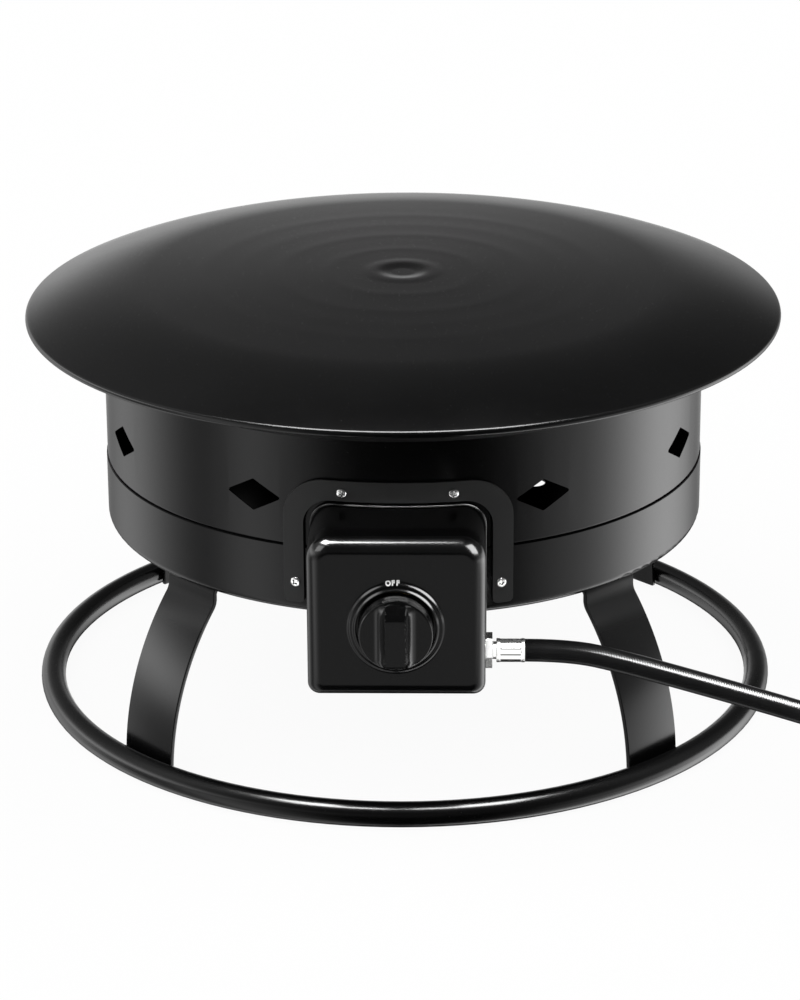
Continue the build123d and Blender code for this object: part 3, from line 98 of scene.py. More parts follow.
class LidSizes(bpy.types.PropertyGroup):
    """Sizes of the spun lid."""

    radius: a_length("Radius", "Outer radius of the rolled edge", 0.2413)
    cap: a_length("Cap radius", "Radius of the nearly flat cap", 0.1650)
    cap_slope: a_number("Cap slope", "Slope where the cap meets the shoulder", math.radians(2.4), "ANGLE")
    edge_slope: a_number("Edge slope", "Slope where the shoulder meets the roll", math.radians(24), "ANGLE")
    roll: a_length("Roll", "Diameter of the rolled edge", 0.0050)
    sheet: a_length("Sheet", "Thickness of the sheet", 0.0010)
    ripple: a_length("Ripple", "Height of the rings left by spinning", 0.00006)


class HoseSizes(bpy.types.PropertyGroup):
    """Sizes of the gas hose."""

    diameter: a_length("Diameter", "Outer diameter", 0.0138)
    length: a_length("Length", "Length between the two ferrules", 2.977)
    imprint: a_length("Imprint", "Pitch of the cloth imprint in the cover", 0.0016)


class MetalSizes(bpy.types.PropertyGroup):
    """Small sizes of legs, box and screws."""

    leg_width: a_length("Leg width", "Width of the leg strips", 0.043)
    leg_strip: a_length("Leg strip", "Thickness of the leg strips", 0.003)
    leg_edge: a_length("Leg edge", "Radius of the strips' edges", 0.0006)
    box_edge: a_length("Box edge", "Radius of the box's front edge", 0.0088)
    screw_head: a_length("Screw head", "Diameter of a pan head", 0.0062)
    screw_rise: a_length("Screw rise", "Height of a pan head", 0.0022)


class Finishes(bpy.types.PropertyGroup):
    """Base colours and gloss of the finishes."""

    enamel: a_colour("Enamel", "Black enamel of the steel", (0.0009, 0.0009, 0.0010))
    enamel_gloss: a_number("Enamel roughness", "Roughness of the enamel", 0.2, "FACTOR")
    plastic: a_colour("Plastic", "Moulded box and knob", (0.0014, 0.0014, 0.0015))
    rubber: a_colour("Rubber", "Hose cover", (0.0060, 0.0060, 0.0062))
    print_white: a_colour("Print", "White print on the box", (0.85, 0.85, 0.84))


class StageSizes(bpy.types.PropertyGroup):
    """Floor, backdrop and lamps."""

    room: a_length("Room", "Radius of floor and backdrop", 9.0)
    floor: a_colour("Floor", "Colour of floor and backdrop", (0.92, 0.92, 0.92))
    shade: a_number("Shade", "Share of its shadow that the floor shows", 0.055)
    key: a_number("Key", "Brightness of the soft box overhead", 24.0)
    fill: a_number("Fill", "Strength of each of the three fill lamps", 1.15)
    front: a_number("Front card", "Brightness of the card before box and knob", 0.27)
    corners: a_number("Corner cards", "Brightness of the cards at the box's corners", 16.0)
    metal: a_number("Metal room", "Brightness of the half room before the hose's bright fittings", 1.25)


PROPERTY_GROUPS = {
    "firepit_lid": LidSizes,
    "firepit_hose": HoseSizes,
    "firepit_metal": MetalSizes,
    "firepit_finishes": Finishes,
    "firepit_stage": StageSizes,
}


# ---- shader maths

def arithmetic(operation, swapped=False):
    """Method that adds a Math node, for the r forms with its two operands swapped."""
    def method(self, other):
        return self.tree.calc(operation, *((other, self) if swapped else (self, other)))
    return method


class Value:
    """One output socket of a node tree. Arithmetic on it adds Math nodes."""

    def __init__(self, tree, socket):
        self.tree, self.socket = tree, socket

    __add__, __radd__ = arithmetic("ADD"), arithmetic("ADD", True)
    __sub__, __rsub__ = arithmetic("SUBTRACT"), arithmetic("SUBTRACT", True)
    __mul__, __truediv__, __pow__ = arithmetic("MULTIPLY"), arithmetic("DIVIDE"), arithmetic("POWER")


class Tree:
    """The node tree of a material or world, emptied, with one method that adds any node."""

    def __init__(self, owner):
        self.owner = owner
        owner.use_nodes = True
        self.nodes, self.links = owner.node_tree.nodes, owner.node_tree.links
        self.nodes.clear()

    def node(self, kind, settings=None, sockets=None, output=0):
        """Adds a node: its settings first, then the values or links of its sockets. Gives one output."""
        made = self.nodes.new("ShaderNode" + kind)
        for name, value in (settings or {}).items():
            if name == "stops":
                ramp = made.color_ramp
                while len(ramp.elements) < len(value):
                    ramp.elements.new(1.0)
                for element, (position, colour) in zip(ramp.elements, value):
                    element.position, element.color = position, colour
            else:
                setattr(made, name, value)
        for name, value in (sockets or {}).items():
            if isinstance(value, Value):
                self.links.new(value.socket, made.inputs[name])
            else:
                made.inputs[name].default_value = value
        return Value(self, made.outputs[output]) if len(made.outputs) else None

    def calc(self, operation, *operands):
        """A Math node."""
        return self.node("Math", {"operation": operation}, dict(enumerate(operands)))

    def place(self):
        """Object coordinates, in metres."""
        return self.node("TexCoord", output="Object")

    def parts(self, vector):
        """The three components of a vector."""
        first = self.node("SeparateXYZ", None, {0: vector})
        return [Value(self, output) for output in first.socket.node.outputs]

    def noise(self, vector, size, detail=2.0, roughness=0.5):
        """Cloudy noise from 0 to 1 whose blotches are about one size across."""
        sockets = {"Vector": vector, "Scale": 1.0 / size, "Detail": detail, "Roughness": roughness}
        return self.node("TexNoise", None, sockets)

    def step(self, value, low, high):
        """Smooth step from 0 at low to 1 at high."""
        sockets = {"Value": value, "From Min": low, "From Max": high}
        return self.node("MapRange", {"interpolation_type": "SMOOTHSTEP"}, sockets)

    def mix(self, factor, first, second):
        """Mix of two colours."""
        sockets = {0: factor, 6: solid(first), 7: solid(second)}
        return self.node("Mix", {"data_type": "RGBA"}, sockets, output=2)

    def bump(self, height, depth):
        """Normal of a relief whose height from 0 to 1 stands for a depth in metres."""
        return self.node("Bump", None, {"Height": height, "Distance": depth, "Strength": 1.0})

    def stretched(self, vector, x, y, z):
        """Coordinates multiplied per axis, so that a pattern is drawn out along some of them."""
        return self.node("Mapping", {"vector_type": "POINT"}, {"Vector": vector, "Scale": (x, y, z)})

    def surface(self, **sockets):
        """Principled surface and material output; names use _ for a space. Gives the material."""
        shader = self.node("BsdfPrincipled", None, {n.replace("_", " "): v for n, v in sockets.items()})
        self.node("OutputMaterial", None, {"Surface": shader})
        return self.owner


def solid(colour):
    """A colour with full alpha, or the link that was given."""
    return colour if isinstance(colour, Value) else (*tuple(colour)[:3], 1.0)


def new_material(name):
    """The tree of a new material."""
    return Tree(bpy.data.materials.new(name))


# ---- finishes

def enamel(name, colour, roughness, peel=0.0022, depth=0.000006, dull_from=None):
    """Gloss black enamel: orange peel, slow changes of gloss, fine specks in the film; duller above a height."""
    tree = new_material(name)
    place = tree.place()
    cloud = tree.noise(place, 0.06, 3.0)
    film = tree.noise(place, 0.009, 2.0)
    specks = tree.step(tree.noise(place, 0.0011, 1.0), 0.72, 0.80)
    lighter = [c * 2.2 + 0.001 for c in colour]
    gloss = roughness - 0.03 + cloud * 0.05 + film * 0.03 + specks * 0.1
    if dull_from:
        gloss = gloss + tree.step(tree.parts(place)[2], dull_from, dull_from + 0.014) * 0.45
    return tree.surface(
        Base_Color=tree.mix(cloud * 0.6 + specks * 0.4, colour, lighter),
        Roughness=gloss,
        Normal=tree.bump(tree.noise(place, peel, 2.0), depth),
    )


def heat_paint():
    """Satin high-temperature paint: fine tooth, dusty greyer film above the burner's circle."""
    tree = new_material("satin_heat_paint")
    place = tree.place()
    x, y, _ = tree.parts(place)
    radius = (x * x + y * y) ** 0.5
    cloud = tree.noise(place, 0.03, 5.0, 0.6)
    scorch = tree.step(radius, 0.150, 0.095) * tree.step(cloud, 0.3, 0.75)
    return tree.surface(
        Base_Color=tree.mix(scorch, (0.008, 0.008, 0.008), (0.030, 0.026, 0.023)),
        Roughness=0.42 + cloud * 0.12 + scorch * 0.1,
        Normal=tree.bump(tree.noise(place, 0.0007, 2.0), 0.00003),
    )


def metal(name, colour, second, roughness, grain, depth, patch):
    """Bare or plated metal: two tones in slow patches and a fine grain."""
    tree = new_material(name)
    place = tree.place()
    patches = tree.noise(place, patch, 3.0, 0.6)
    lines = tree.noise(place, grain, 3.0)
    return tree.surface(
        Base_Color=tree.mix(tree.step(patches, 0.35, 0.7), colour, second),
        Metallic=1.0,
        Roughness=roughness + lines * 0.16 - 0.08 + patches * 0.08,
        Normal=tree.bump(lines, depth),
    )


def crimped_nickel(start, first, last):
    """Bright nickel on the crimped ferrule, with painted dark reflections along the ridges between its pressed flats.
    """
    tree = new_material("crimped_nickel")
    place = tree.place()
    x, y, z = tree.parts(place)
    out = ((y - start[1]) ** 2 + (z - start[2]) ** 2) ** 0.5
    along = tree.step(x, first, first + 0.0004) * tree.step(x, last, last - 0.0004)
    # painted reflection: a near-black line is coloured along each ridge between the flats, standing in for the dark
    # reflection seen there
    painted_dark_ridge = tree.step(out, 0.00701, 0.00709) * along
    grain = tree.noise(tree.stretched(place, 0.3, 1, 1), 0.0009, 3.0)
    return tree.surface(
        Base_Color=tree.mix(painted_dark_ridge, (0.84, 0.84, 0.83), (0.05, 0.05, 0.05)),
        Metallic=1.0,
        Roughness=0.2 + grain * 0.1,
        Normal=tree.bump(grain, 0.000004),
    )


# Colours of heated stainless steel from cold to hot: bare, straw, brown, blue
HEAT_TINT = (
    (0.0, (0.52, 0.51, 0.49, 1)), (0.45, (0.46, 0.37, 0.22, 1)), (0.72, (0.25, 0.17, 0.20, 1)),
    (1.0, (0.13, 0.16, 0.26, 1)),
)


def tinted_steel():
    """Stainless burner: brushed round the tube, straw and blue heat tint along its upper side."""
    tree = new_material("stainless_heat_tint")
    place = tree.place()
    height = tree.parts(place)[2]
    cloud = tree.noise(place, 0.02, 4.0, 0.6)
    heat = tree.step(height + cloud * 0.006, 0.209, 0.2195)
    tint = tree.node("ValToRGB", {"stops": HEAT_TINT}, {0: heat})
    lines = tree.noise(tree.stretched(place, 1, 1, 14), 0.0022, 3.0)
    return tree.surface(
        Base_Color=tint, Metallic=1.0, Roughness=0.24 + lines * 0.14 + heat * 0.08, Normal=tree.bump(lines, 0.00001)
    )


def plastic(name, colour, roughness, tooth=0.0014, depth=0.0000025):
    """Moulded plastic: fine tooth and slightly changing gloss."""
    tree = new_material(name)
    place = tree.place()
    cloud = tree.noise(place, 0.025, 3.0)
    grain = tree.noise(place, tooth, 2.0)
    return tree.surface(
        Base_Color=tree.mix(cloud, colour, [c * 1.6 for c in colour]),
        Roughness=roughness - 0.03 + cloud * 0.06 + grain * 0.04,
        Normal=tree.bump(grain, depth),
    )


def hose_cover(colour, imprint):
    """Rubber cover with a fine cloth imprint round it; the map runs in metres round and along."""
    tree = new_material("hose_cover")
    along = tree.node("TexCoord", output="UV")
    u, v, _ = tree.parts(along)
    turn = 2 * math.pi / imprint
    weave = tree.calc("SINE", v * turn + u * turn * 0.35)
    cloud = tree.noise(tree.place(), 0.012, 3.0)
    fine = tree.noise(tree.place(), 0.0012, 2.0)
    return tree.surface(
        Base_Color=tree.mix(cloud, colour, [c * 1.8 + 0.002 for c in colour]),
        Roughness=0.15 + cloud * 0.06 + fine * 0.04,
        Normal=tree.bump(weave * 0.5 + fine * 0.4, 0.00002),
    )


def rubber(name, colour):
    """Plain dark rubber."""
    tree = new_material(name)
    place = tree.place()
    cloud = tree.noise(place, 0.004, 3.0)
    return tree.surface(
        Base_Color=tree.mix(cloud, colour, [c * 1.7 for c in colour]),
        Roughness=0.5 + cloud * 0.1,
        Normal=tree.bump(cloud, 0.00003),
    )


def printed_white(colour):
    """White pad print, a little thin in places."""
    tree = new_material("white_print")
    thin = tree.step(tree.noise(tree.place(), 0.0008, 2.0), 0.3, 0.7)
    return tree.surface(Base_Color=tree.mix(thin, [c * 0.86 for c in colour], colour), Roughness=0.5)


FINISHES = {}


def finish_set():
    """All finishes by the record's slot names and that of the legs, made once."""
    if FINISHES:
        return FINISHES
    look = bpy.context.scene.firepit_finishes
    FINISHES.update(
        gloss_black=enamel("gloss_black_enamel", look.enamel, look.enamel_gloss),
        leg_black=enamel("leg_enamel", look.enamel, look.enamel_gloss, dull_from=0.090),
        satin_black=enamel("satin_black_enamel", (0.012, 0.012, 0.012), 0.5, 0.0008, 0.000012),
        bowl_black=heat_paint(),
        stainless=tinted_steel(),
        zinc_steel=metal("zinc_plate", (0.60, 0.61, 0.63), (0.54, 0.54, 0.50), 0.34, 0.0012, 0.000010, 0.004),
        chrome=metal("bright_nickel", (0.83, 0.83, 0.82), (0.76, 0.76, 0.76), 0.19, 0.0009, 0.000004, 0.006),
        brass=metal("turned_brass", (0.72, 0.52, 0.24), (0.60, 0.41, 0.18), 0.26, 0.0006, 0.000008, 0.008),
        aluminium=metal("cast_aluminium", (0.68, 0.69, 0.70), (0.56, 0.57, 0.58), 0.42, 0.0011, 0.00003, 0.01),
        box_plastic=plastic("box_moulding", look.plastic, 0.15),
        knob_plastic=plastic("knob_moulding", look.plastic, 0.17),
        hose_rubber=hose_cover(look.rubber, bpy.context.scene.firepit_hose.imprint),
        cast_zinc=enamel("grey_hammer_paint", (0.20, 0.205, 0.21), 0.40, 0.0018, 0.00006),
        coupling_plastic=plastic("coupling_moulding", (0.012, 0.012, 0.012), 0.38, 0.0007, 0.00002),
        seal_rubber=rubber("seal_rubber", (0.012, 0.012, 0.012)),
    )
    return FINISHES


# ---- surfaces

def grid_faces(rows, columns, closed_rows=False, closed_columns=True):
    """Quads of a grid of points: each joins a point, the next in its row, and the two in the next row."""
    i = np.arange(rows if closed_rows else rows - 1)[:, None]
    j = np.arange(columns if closed_columns else columns - 1)[None, :]
    i2, j2 = (i + 1) % rows, (j + 1) % columns
    quads = np.broadcast_arrays(i * columns + j, i * columns + j2, i2 * columns + j2, i2 * columns + j)
    return np.stack(quads, -1).reshape(-1, 4)


def smoothstep(x, low, high):
    """Cubic step 3t^2 - 2t^3 with t running from 0 at low to 1 at high."""
    t = np.clip((x - low) / (high - low), 0, 1)
    return t * t * (3 - 2 * t)


def full_turn(steps):
    """Equal steps of angle all round."""
    return np.linspace(0, 2 * np.pi, steps, endpoint=False)


def revolve(section, columns):
    """Grid of a section of (radius, height) turned about Z: x = r sin a, y = -r cos a."""
    angle = full_turn(columns)
    r, z = section[:, :1], section[:, 1:]
    return np.stack([r * np.sin(angle), -r * np.cos(angle), z + 0 * angle], -1)


def turned(points, azimuth):
    """Points turned about Z by an azimuth that is counted from -Y towards +X."""
    c, s = math.cos(azimuth), math.sin(azimuth)
    x, y, z = np.moveaxis(np.asarray(points), -1, 0)
    return np.stack([x * c - y * s, x * s + y * c, z], -1)


def rounded_rectangle(width, height, radius, steps=4):
    """Closed section of a rectangle with quarter-circle corners, counterclockwise from the right side."""
    corners = []
    for cx, cy, start in ((1, 1, 0), (-1, 1, 1), (-1, -1, 2), (1, -1, 3)):
        a = (start + np.linspace(0, 1, steps + 1)) * np.pi / 2
        centre = np.array([cx * (width / 2 - radius), cy * (height / 2 - radius)])
        corners.append(centre + radius * np.stack([np.cos(a), np.sin(a)], -1))
    return np.concatenate(corners)


def capped(rows):
    """Rows of a closed strip with both ends drawn to the middle of their row."""
    first = np.broadcast_to(rows[0].mean(0), rows[0].shape)
    last = np.broadcast_to(rows[-1].mean(0), rows[-1].shape)
    return np.concatenate([first[None], rows, last[None]])


def new_object(name, data):
    """A new object in the scene."""
    made = bpy.data.objects.new(name, data)
    bpy.context.scene.collection.objects.link(made)
    return made


def make_piece(name, grids, body, slot, material=None, replaces=(), sharp=35, maps=None):
    """Puts grids of points into one mesh, merges doubles, turns faces outwards and hangs it on its body.

    grids is a list of (points[rows, columns, 3], closed_rows, closed_columns).
    """
    points, faces, start = [], [], 0
    for grid, closed_rows, closed_columns in grids:
        rows, columns = grid.shape[:2]
        points.append(grid.reshape(-1, 3))
        faces.append(grid_faces(rows, columns, closed_rows, closed_columns) + start)
        start += rows * columns
    points, faces = np.concatenate(points), np.concatenate(faces)
    mesh = bpy.data.meshes.new(name)
    mesh.from_pydata(points.tolist(), [], faces.tolist())
    if maps is not None:
        layer = mesh.uv_layers.new(name="UVMap")
        layer.data.foreach_set("uv", maps.astype(np.float32).ravel())
    work = bmesh.new()
    work.from_mesh(mesh)
    bmesh.ops.remove_doubles(work, verts=work.verts, dist=1e-6)
    bmesh.ops.dissolve_degenerate(work, edges=work.edges, dist=1e-7)
    bmesh.ops.recalc_face_normals(work, faces=work.faces)
    work.to_mesh(mesh)
    work.free()
    return settle(name, mesh, body, slot, material, replaces, sharp)


def settle(name, mesh, body, slot, material, replaces, sharp):
    """Makes a mesh a piece: smooth with sharp edges above an angle, finished, riding on its body."""
    mesh.shade_smooth()
    mesh.set_sharp_from_angle(angle=math.radians(sharp))
    made = new_object(name, mesh)
    mesh.materials.clear()
    mesh.materials.append(material or finish_set()[slot])
    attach(made, body)
    if replaces:
        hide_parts(*replaces)
    return made


def node_body(node):
    """Name of the body that a CAD node rides on."""
    return frame["nodes"][node]["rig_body"]


def edge_rounded(node, width):
    """Copy of a CAD node, merged, whose edges sharper than 38 degrees a Bevel modifier rounds."""
    name = f"{node}_rounded"
    source = frame["nodes"][node].data
    points = np.zeros(len(source.vertices) * 3, np.float32)
    source.vertices.foreach_get("co", points)
    points = points.reshape(-1, 3)
    corners = np.zeros(len(source.loops), np.int32)
    source.loops.foreach_get("vertex_index", corners)
    _, first, merged = np.unique(np.round(points, 6), axis=0, return_index=True, return_inverse=True)
    triangles = merged.reshape(-1)[corners].reshape(-1, 3)
    a, b, c = triangles.T
    whole = (a != b) & (b != c) & (c != a)
    mesh = bpy.data.meshes.new(name)
    mesh.from_pydata(points[first].tolist(), [], triangles[whole].tolist())
    slot = next((p["material_slot"] for p in frame["record"]["subparts"] if p["node"] == node), None)
    made = settle(name, mesh, node_body(node), slot, None, (node,), 30)
    bevel = made.modifiers.new("rounded_edges", "BEVEL")
    bevel.width, bevel.segments = width, 2
    bevel.limit_method, bevel.angle_limit = "ANGLE", math.radians(38)
    bevel.use_clamp_overlap = False
    bevel.harden_normals = True
    bevel.miter_outer = "MITER_ARC"
    return made


# ---- camera and hose

# From the fit to the photo: focal length in mm on a 36 mm sensor, place, aim, and roll in degrees
LENS = 131.72
EYE = Vector((0.04412, -2.23094, 0.99169))
AIM = Vector((-0.00261, -0.00004, 0.1218))
ROLL = -0.30


class FIREPIT_OT_camera(bpy.types.Operator):
    """Place the camera where the photograph was taken from"""

    bl_idname = "firepit.camera"
    bl_label = "Camera"

    def execute(self, context):
        data = bpy.data.cameras.new("camera")
        data.lens, data.sensor_width, data.sensor_fit = LENS, 36.0, "AUTO"
        camera = new_object("camera", data)
        roll = Quaternion((0.0, 0.0, 1.0), math.radians(ROLL))
        camera.location = EYE
        camera.rotation_mode = "QUATERNION"
        camera.rotation_quaternion = (AIM - EYE).to_track_quat("-Z", "Y") @ roll
        context.scene.camera = camera
        return {"FINISHED"}


# Route of the hose: sagging from the box to the ground, level along it, then the coil and the regulator
HOSE_LEAD = tuple((x, -0.225, z) for x, z in (
    (0.07625, 0.1134), (0.104, 0.1134), (0.136, 0.1056), (0.176, 0.0938), (0.222, 0.0798), (0.266, 0.0656),
    (0.303, 0.0478), (0.334, 0.0284), (0.359, 0.0146), (0.380, 0.0086), (0.394, 0.0069), (0.406, 0.0069),
))
HOSE_TAIL = (
    (0.51516, -0.11584, 0.0214), (0.51516, -0.09584, 0.0214), (0.51366, -0.07184, 0.0226),
    (0.51116, -0.04784, 0.0270), (0.51116, -0.02784, 0.0270),
)
COIL_CENTRE = (0.420, -0.12984)
COIL_TURNS = 5.25
COIL_STEPS = 24        # control points per turn
COIL_INNER = 0.05684   # radius of the innermost turn
COIL_PITCH = 0.0146    # from turn to turn
COIL_LAYER = 0.0145    # from layer to layer
COIL_LOW = 0.0069      # height of the lower layer's middle


def coil_controls():
    """Control points of the coil.

    Two spirals about one centre, in and out again a layer higher: radius = inner + pitch x |turn - half|,
    height = one layer x smooth step over a quarter turn each side of the reversal. A quadratic spline runs
    inside its control points by 0.75 + 0.25 cos(step), which the radius makes up for.
    """
    turn = np.linspace(0, COIL_TURNS, round(COIL_TURNS * COIL_STEPS) + 1)
    half = COIL_TURNS / 2
    outwards = 0.75 + 0.25 * math.cos(2 * math.pi / COIL_STEPS)
    radius = (COIL_INNER + COIL_PITCH * np.abs(turn - half)) / outwards
    angle = 2 * np.pi * turn - np.pi / 2
    height = COIL_LOW + COIL_LAYER * smoothstep(turn, half - 0.25, half + 0.25)
    x, y = COIL_CENTRE
    return np.stack([x + radius * np.cos(angle), y + radius * np.sin(angle), height], -1)


def hose_line():
    """Points along the hose's NURBS spline, close together, from its exit to the regulator."""
    controls = np.concatenate([HOSE_LEAD, coil_controls(), HOSE_TAIL])
    curve = bpy.data.curves.new("hose_route", "CURVE")
    curve.dimensions = "3D"
    curve.resolution_u = 6
    spline = curve.splines.new("NURBS")
    spline.points.add(len(controls) - 1)
    spline.points.foreach_set("co", np.column_stack([controls, np.ones(len(controls))]).ravel())
    spline.order_u = 3
    spline.use_endpoint_u = True
    route = new_object("hose_route", curve)
    evaluated = route.evaluated_get(bpy.context.evaluated_depsgraph_get())
    line = bpy.data.meshes.new_from_object(evaluated)
    points = np.zeros(len(line.vertices) * 3)
    line.vertices.foreach_get("co", points)
    bpy.data.objects.remove(route)
    bpy.data.curves.remove(curve)
    bpy.data.meshes.remove(line)
    return points.reshape(-1, 3)


def tube_rows(line, radius, columns):
    """Rings round a line: line + radius (cos a side + sin a up), with side level and square to the line."""
    way = np.gradient(line, axis=0)
    way /= np.linalg.norm(way, axis=1, keepdims=True)
    side = np.cross(way, (0.0, 0.0, 1.0))
    side /= np.linalg.norm(side, axis=1, keepdims=True)
    up = np.cross(side, way)
    angle = full_turn(columns)[None, :, None]
    return line[:, None] + radius * (np.cos(angle) * side[:, None] + np.sin(angle) * up[:, None])


class FIREPIT_OT_hose(bpy.types.Operator):
    """Lay the gas hose from the box to the regulator, its spare length wound into a coil"""

    bl_idname = "firepit.hose"
    bl_label = "Gas hose"

    def execute(self, context):
        size = context.scene.firepit_hose
        columns = 20  # points round the hose
        line = hose_line()
        rows = tube_rows(line, size.diameter / 2, columns)
        along = np.concatenate([[0], np.cumsum(np.linalg.norm(np.diff(line, axis=0), axis=1))])
        j = np.arange(columns)
        around = math.pi * size.diameter / columns
        u = np.stack([j, j + 1, j + 1, j], -1)[None] * around + 0 * along[:-1, None, None]
        start, end = along[:-1, None], along[1:, None]
        v = np.stack(np.broadcast_arrays(start, start, end, end), -1) + 0 * u
        piece = make_piece(
            "gas_hose", [(rows, False, True)], "base", "hose_rubber",
            replaces=("hose_lead", "hose_coil", "hose_tail"), maps=np.stack([u, v], -1),
        )
        return {"FINISHED"}


# ---- the spun lid

LID_DIMPLE = 0.0008  # depth of the dimple
LID_LIP = 0.0002     # height of the lip round it
# Rings left by spinning: radius, half width, share of the ripple's height
LID_RINGS = ((0.048, 0.0055, 1.0), (0.080, 0.0060, 0.9), (0.104, 0.006, 0.5), (0.128, 0.0065, 0.8))


def lid_height(r, size):
    """Height of the lid's upper side above the edge's lowest point, at a radius.

    A cap and a shoulder, both circular arcs that meet in one slope, less the pressed dimple, plus the lip
    round it and the shallow rings of spinning.
    """
    low, high = math.sin(size.cap_slope), math.sin(size.edge_slope)
    cap_bend = size.cap / low
    edge_r = size.radius - size.roll / 2 * (1 - high)
    bend = (edge_r - size.cap) / (high - low)
    centre_r = size.cap - bend * low
    centre_z = size.roll / 2 * (1 + math.cos(size.edge_slope)) - bend * math.cos(size.edge_slope)
    shoulder = centre_z + np.sqrt(np.maximum(bend**2 - (r - centre_r) ** 2, 0))
    cap_z = centre_z + bend * math.cos(size.cap_slope) - cap_bend * math.cos(size.cap_slope)
    cap = cap_z + np.sqrt(cap_bend**2 - r**2)
    height = np.where(r < size.cap, cap, shoulder)
    height = height - LID_DIMPLE * (1 - smoothstep(r, 0.0070, 0.0165))
    height = height + LID_LIP * smoothstep(r, 0.0120, 0.0190) * (1 - smoothstep(r, 0.0190, 0.0280))
    for ring, width, share in LID_RINGS:
        height = height + share * size.ripple * np.exp(-(((r - ring) / width) ** 2))
    return height


def lid_section(size):
    """Closed section of the lid: upper side, three quarters of the rolled edge, and the underside."""
    slope = size.edge_slope
    edge_r = size.radius - size.roll / 2 * (1 - math.sin(slope))
    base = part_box("lid")[0].z
    r = np.concatenate([np.linspace(0, size.cap, 140, endpoint=False), np.linspace(size.cap, edge_r, 50)])
    upper = np.stack([r, base + lid_height(r, size)], -1)
    centre = np.array([size.radius - size.roll / 2, base + size.roll / 2])
    inner = 1 - 2 * size.sheet / size.roll
    meet = math.pi / 2 - slope + math.acos(inner)
    a = np.linspace(math.pi / 2 - slope, meet - 2 * math.pi, 28)[1:]
    roll = centre + size.roll / 2 * np.stack([np.cos(a), np.sin(a)], -1)
    r = np.linspace(roll[-1, 0] - 0.001, 0, 90)
    rise = np.gradient(lid_height(r, size), r)
    under = np.stack([r, base + lid_height(r, size) - size.sheet * np.sqrt(1 + rise**2)], -1)
    return np.concatenate([upper, roll, under])


class FIREPIT_OT_lid(bpy.types.Operator):
    """Spin the lid, with its dimple, rings and rolled edge"""

    bl_idname = "firepit.lid"
    bl_label = "Lid"

    def execute(self, context):
        rows = revolve(lid_section(context.scene.firepit_lid), 192)
        make_piece("spun_lid", [(rows, False, True)], "lid", "gloss_black", replaces=("lid",))
        return {"FINISHED"}


# ---- legs

# Arcs of a leg: centre (radius and height), own radius, angles in degrees, points, and the normal's side
LEG_ARCS = (
    (0.05886, 0.0025, 0.16316, 0.0, 39.226, 48, 1),
    (0.1930, 0.1120, 0.0100, 219.226, 180.0, 12, -1),
    (0.1790, 0.1145, 0.0040, 0.0, 90.0, 12, 1),
)
LEG_FOOT = (0.1790, 0.1490)  # radius where the level foot starts and ends
LEG_FOOT_HEIGHT = 0.1185


def leg_line():
    """Middle line of a leg in radius and height, with its outward normals.

    Three arcs: the long bend up from the ground, the short reverse bend under the pan, the fold into the
    level foot that is bolted to the pan.
    """
    points, normals = [], []
    for r, z, radius, start, end, steps, side in LEG_ARCS:
        a = np.radians(np.linspace(start, end, steps))
        way = np.stack([np.cos(a), np.sin(a)], -1)
        points.append(np.array([r, z]) + radius * way)
        normals.append(side * way)
    foot = np.linspace(*LEG_FOOT, 10)[1:]
    points.append(np.stack([foot, np.full(len(foot), LEG_FOOT_HEIGHT)], -1))
    normals.append(np.broadcast_to((0.0, 1.0), (len(foot), 2)))
    return np.concatenate(points), np.concatenate(normals)


def leg_rows(width, strip, edge):
    """Rounded strip carried along the leg's line: x across, y outwards, both cut ends rounded."""
    line, normal = leg_line()
    low, high = line[0], line[-1]
    line = np.concatenate([
        [low, low + (0, 0.3 * edge), low + (0, edge)], line[1:-1],
        [high + (edge, 0), high + (0.3 * edge, 0), high],
    ])
    normal = np.concatenate([normal[:1].repeat(3, 0), normal[1:-1], normal[-1:].repeat(3, 0)])
    inset = np.zeros(len(line))
    inset[[0, -1]], inset[[1, -2]] = edge, 0.3 * edge
    section = rounded_rectangle(width, strip, edge)
    rows = section[None] - np.sign(section)[None] * inset[:, None, None]
    out = line[:, None, 0] + rows[:, :, 1] * normal[:, None, 0]
    up = line[:, None, 1] + rows[:, :, 1] * normal[:, None, 1]
    return capped(np.stack([rows[:, :, 0], -out, up], -1))


class FIREPIT_OT_legs(bpy.types.Operator):
    """Bend the four strip legs"""

    bl_idname = "firepit.legs"
    bl_label = "Legs"

    def execute(self, context):
        size = context.scene.firepit_metal
        rows = leg_rows(size.leg_width, size.leg_strip, size.leg_edge)
        for number, place in enumerate(("front_right", "rear_right", "rear_left", "front_left")):
            turned_rows = turned(rows, math.radians(45 + 90 * number))
            make_piece(
                f"strip_leg_{place}", [(turned_rows, False, True)], "base", "gloss_black", finish_set()["leg_black"],
                (f"leg_{place}",),
            )
        return {"FINISHED"}


# ---- control box

BOX_REAR = 0.19295       # radius of the drum's side that it meets
BOX_HALF = 0.05275       # half its width
BOX_LOW, BOX_TOP = 0.0957, 0.1935
BOX_MIDDLE = 0.14515     # height of the point that front and rear close to
BOX_UPPER_CORNER, BOX_LOWER_CORNER = 0.014, 0.007
BOX_RISE = 0.0025        # of its top from the drum to the front edge
BOX_LIP = 0.0007         # how far the lip stands out where the box meets the drum
BOX_LIP_LENGTH = 0.0021  # of the lip along the box


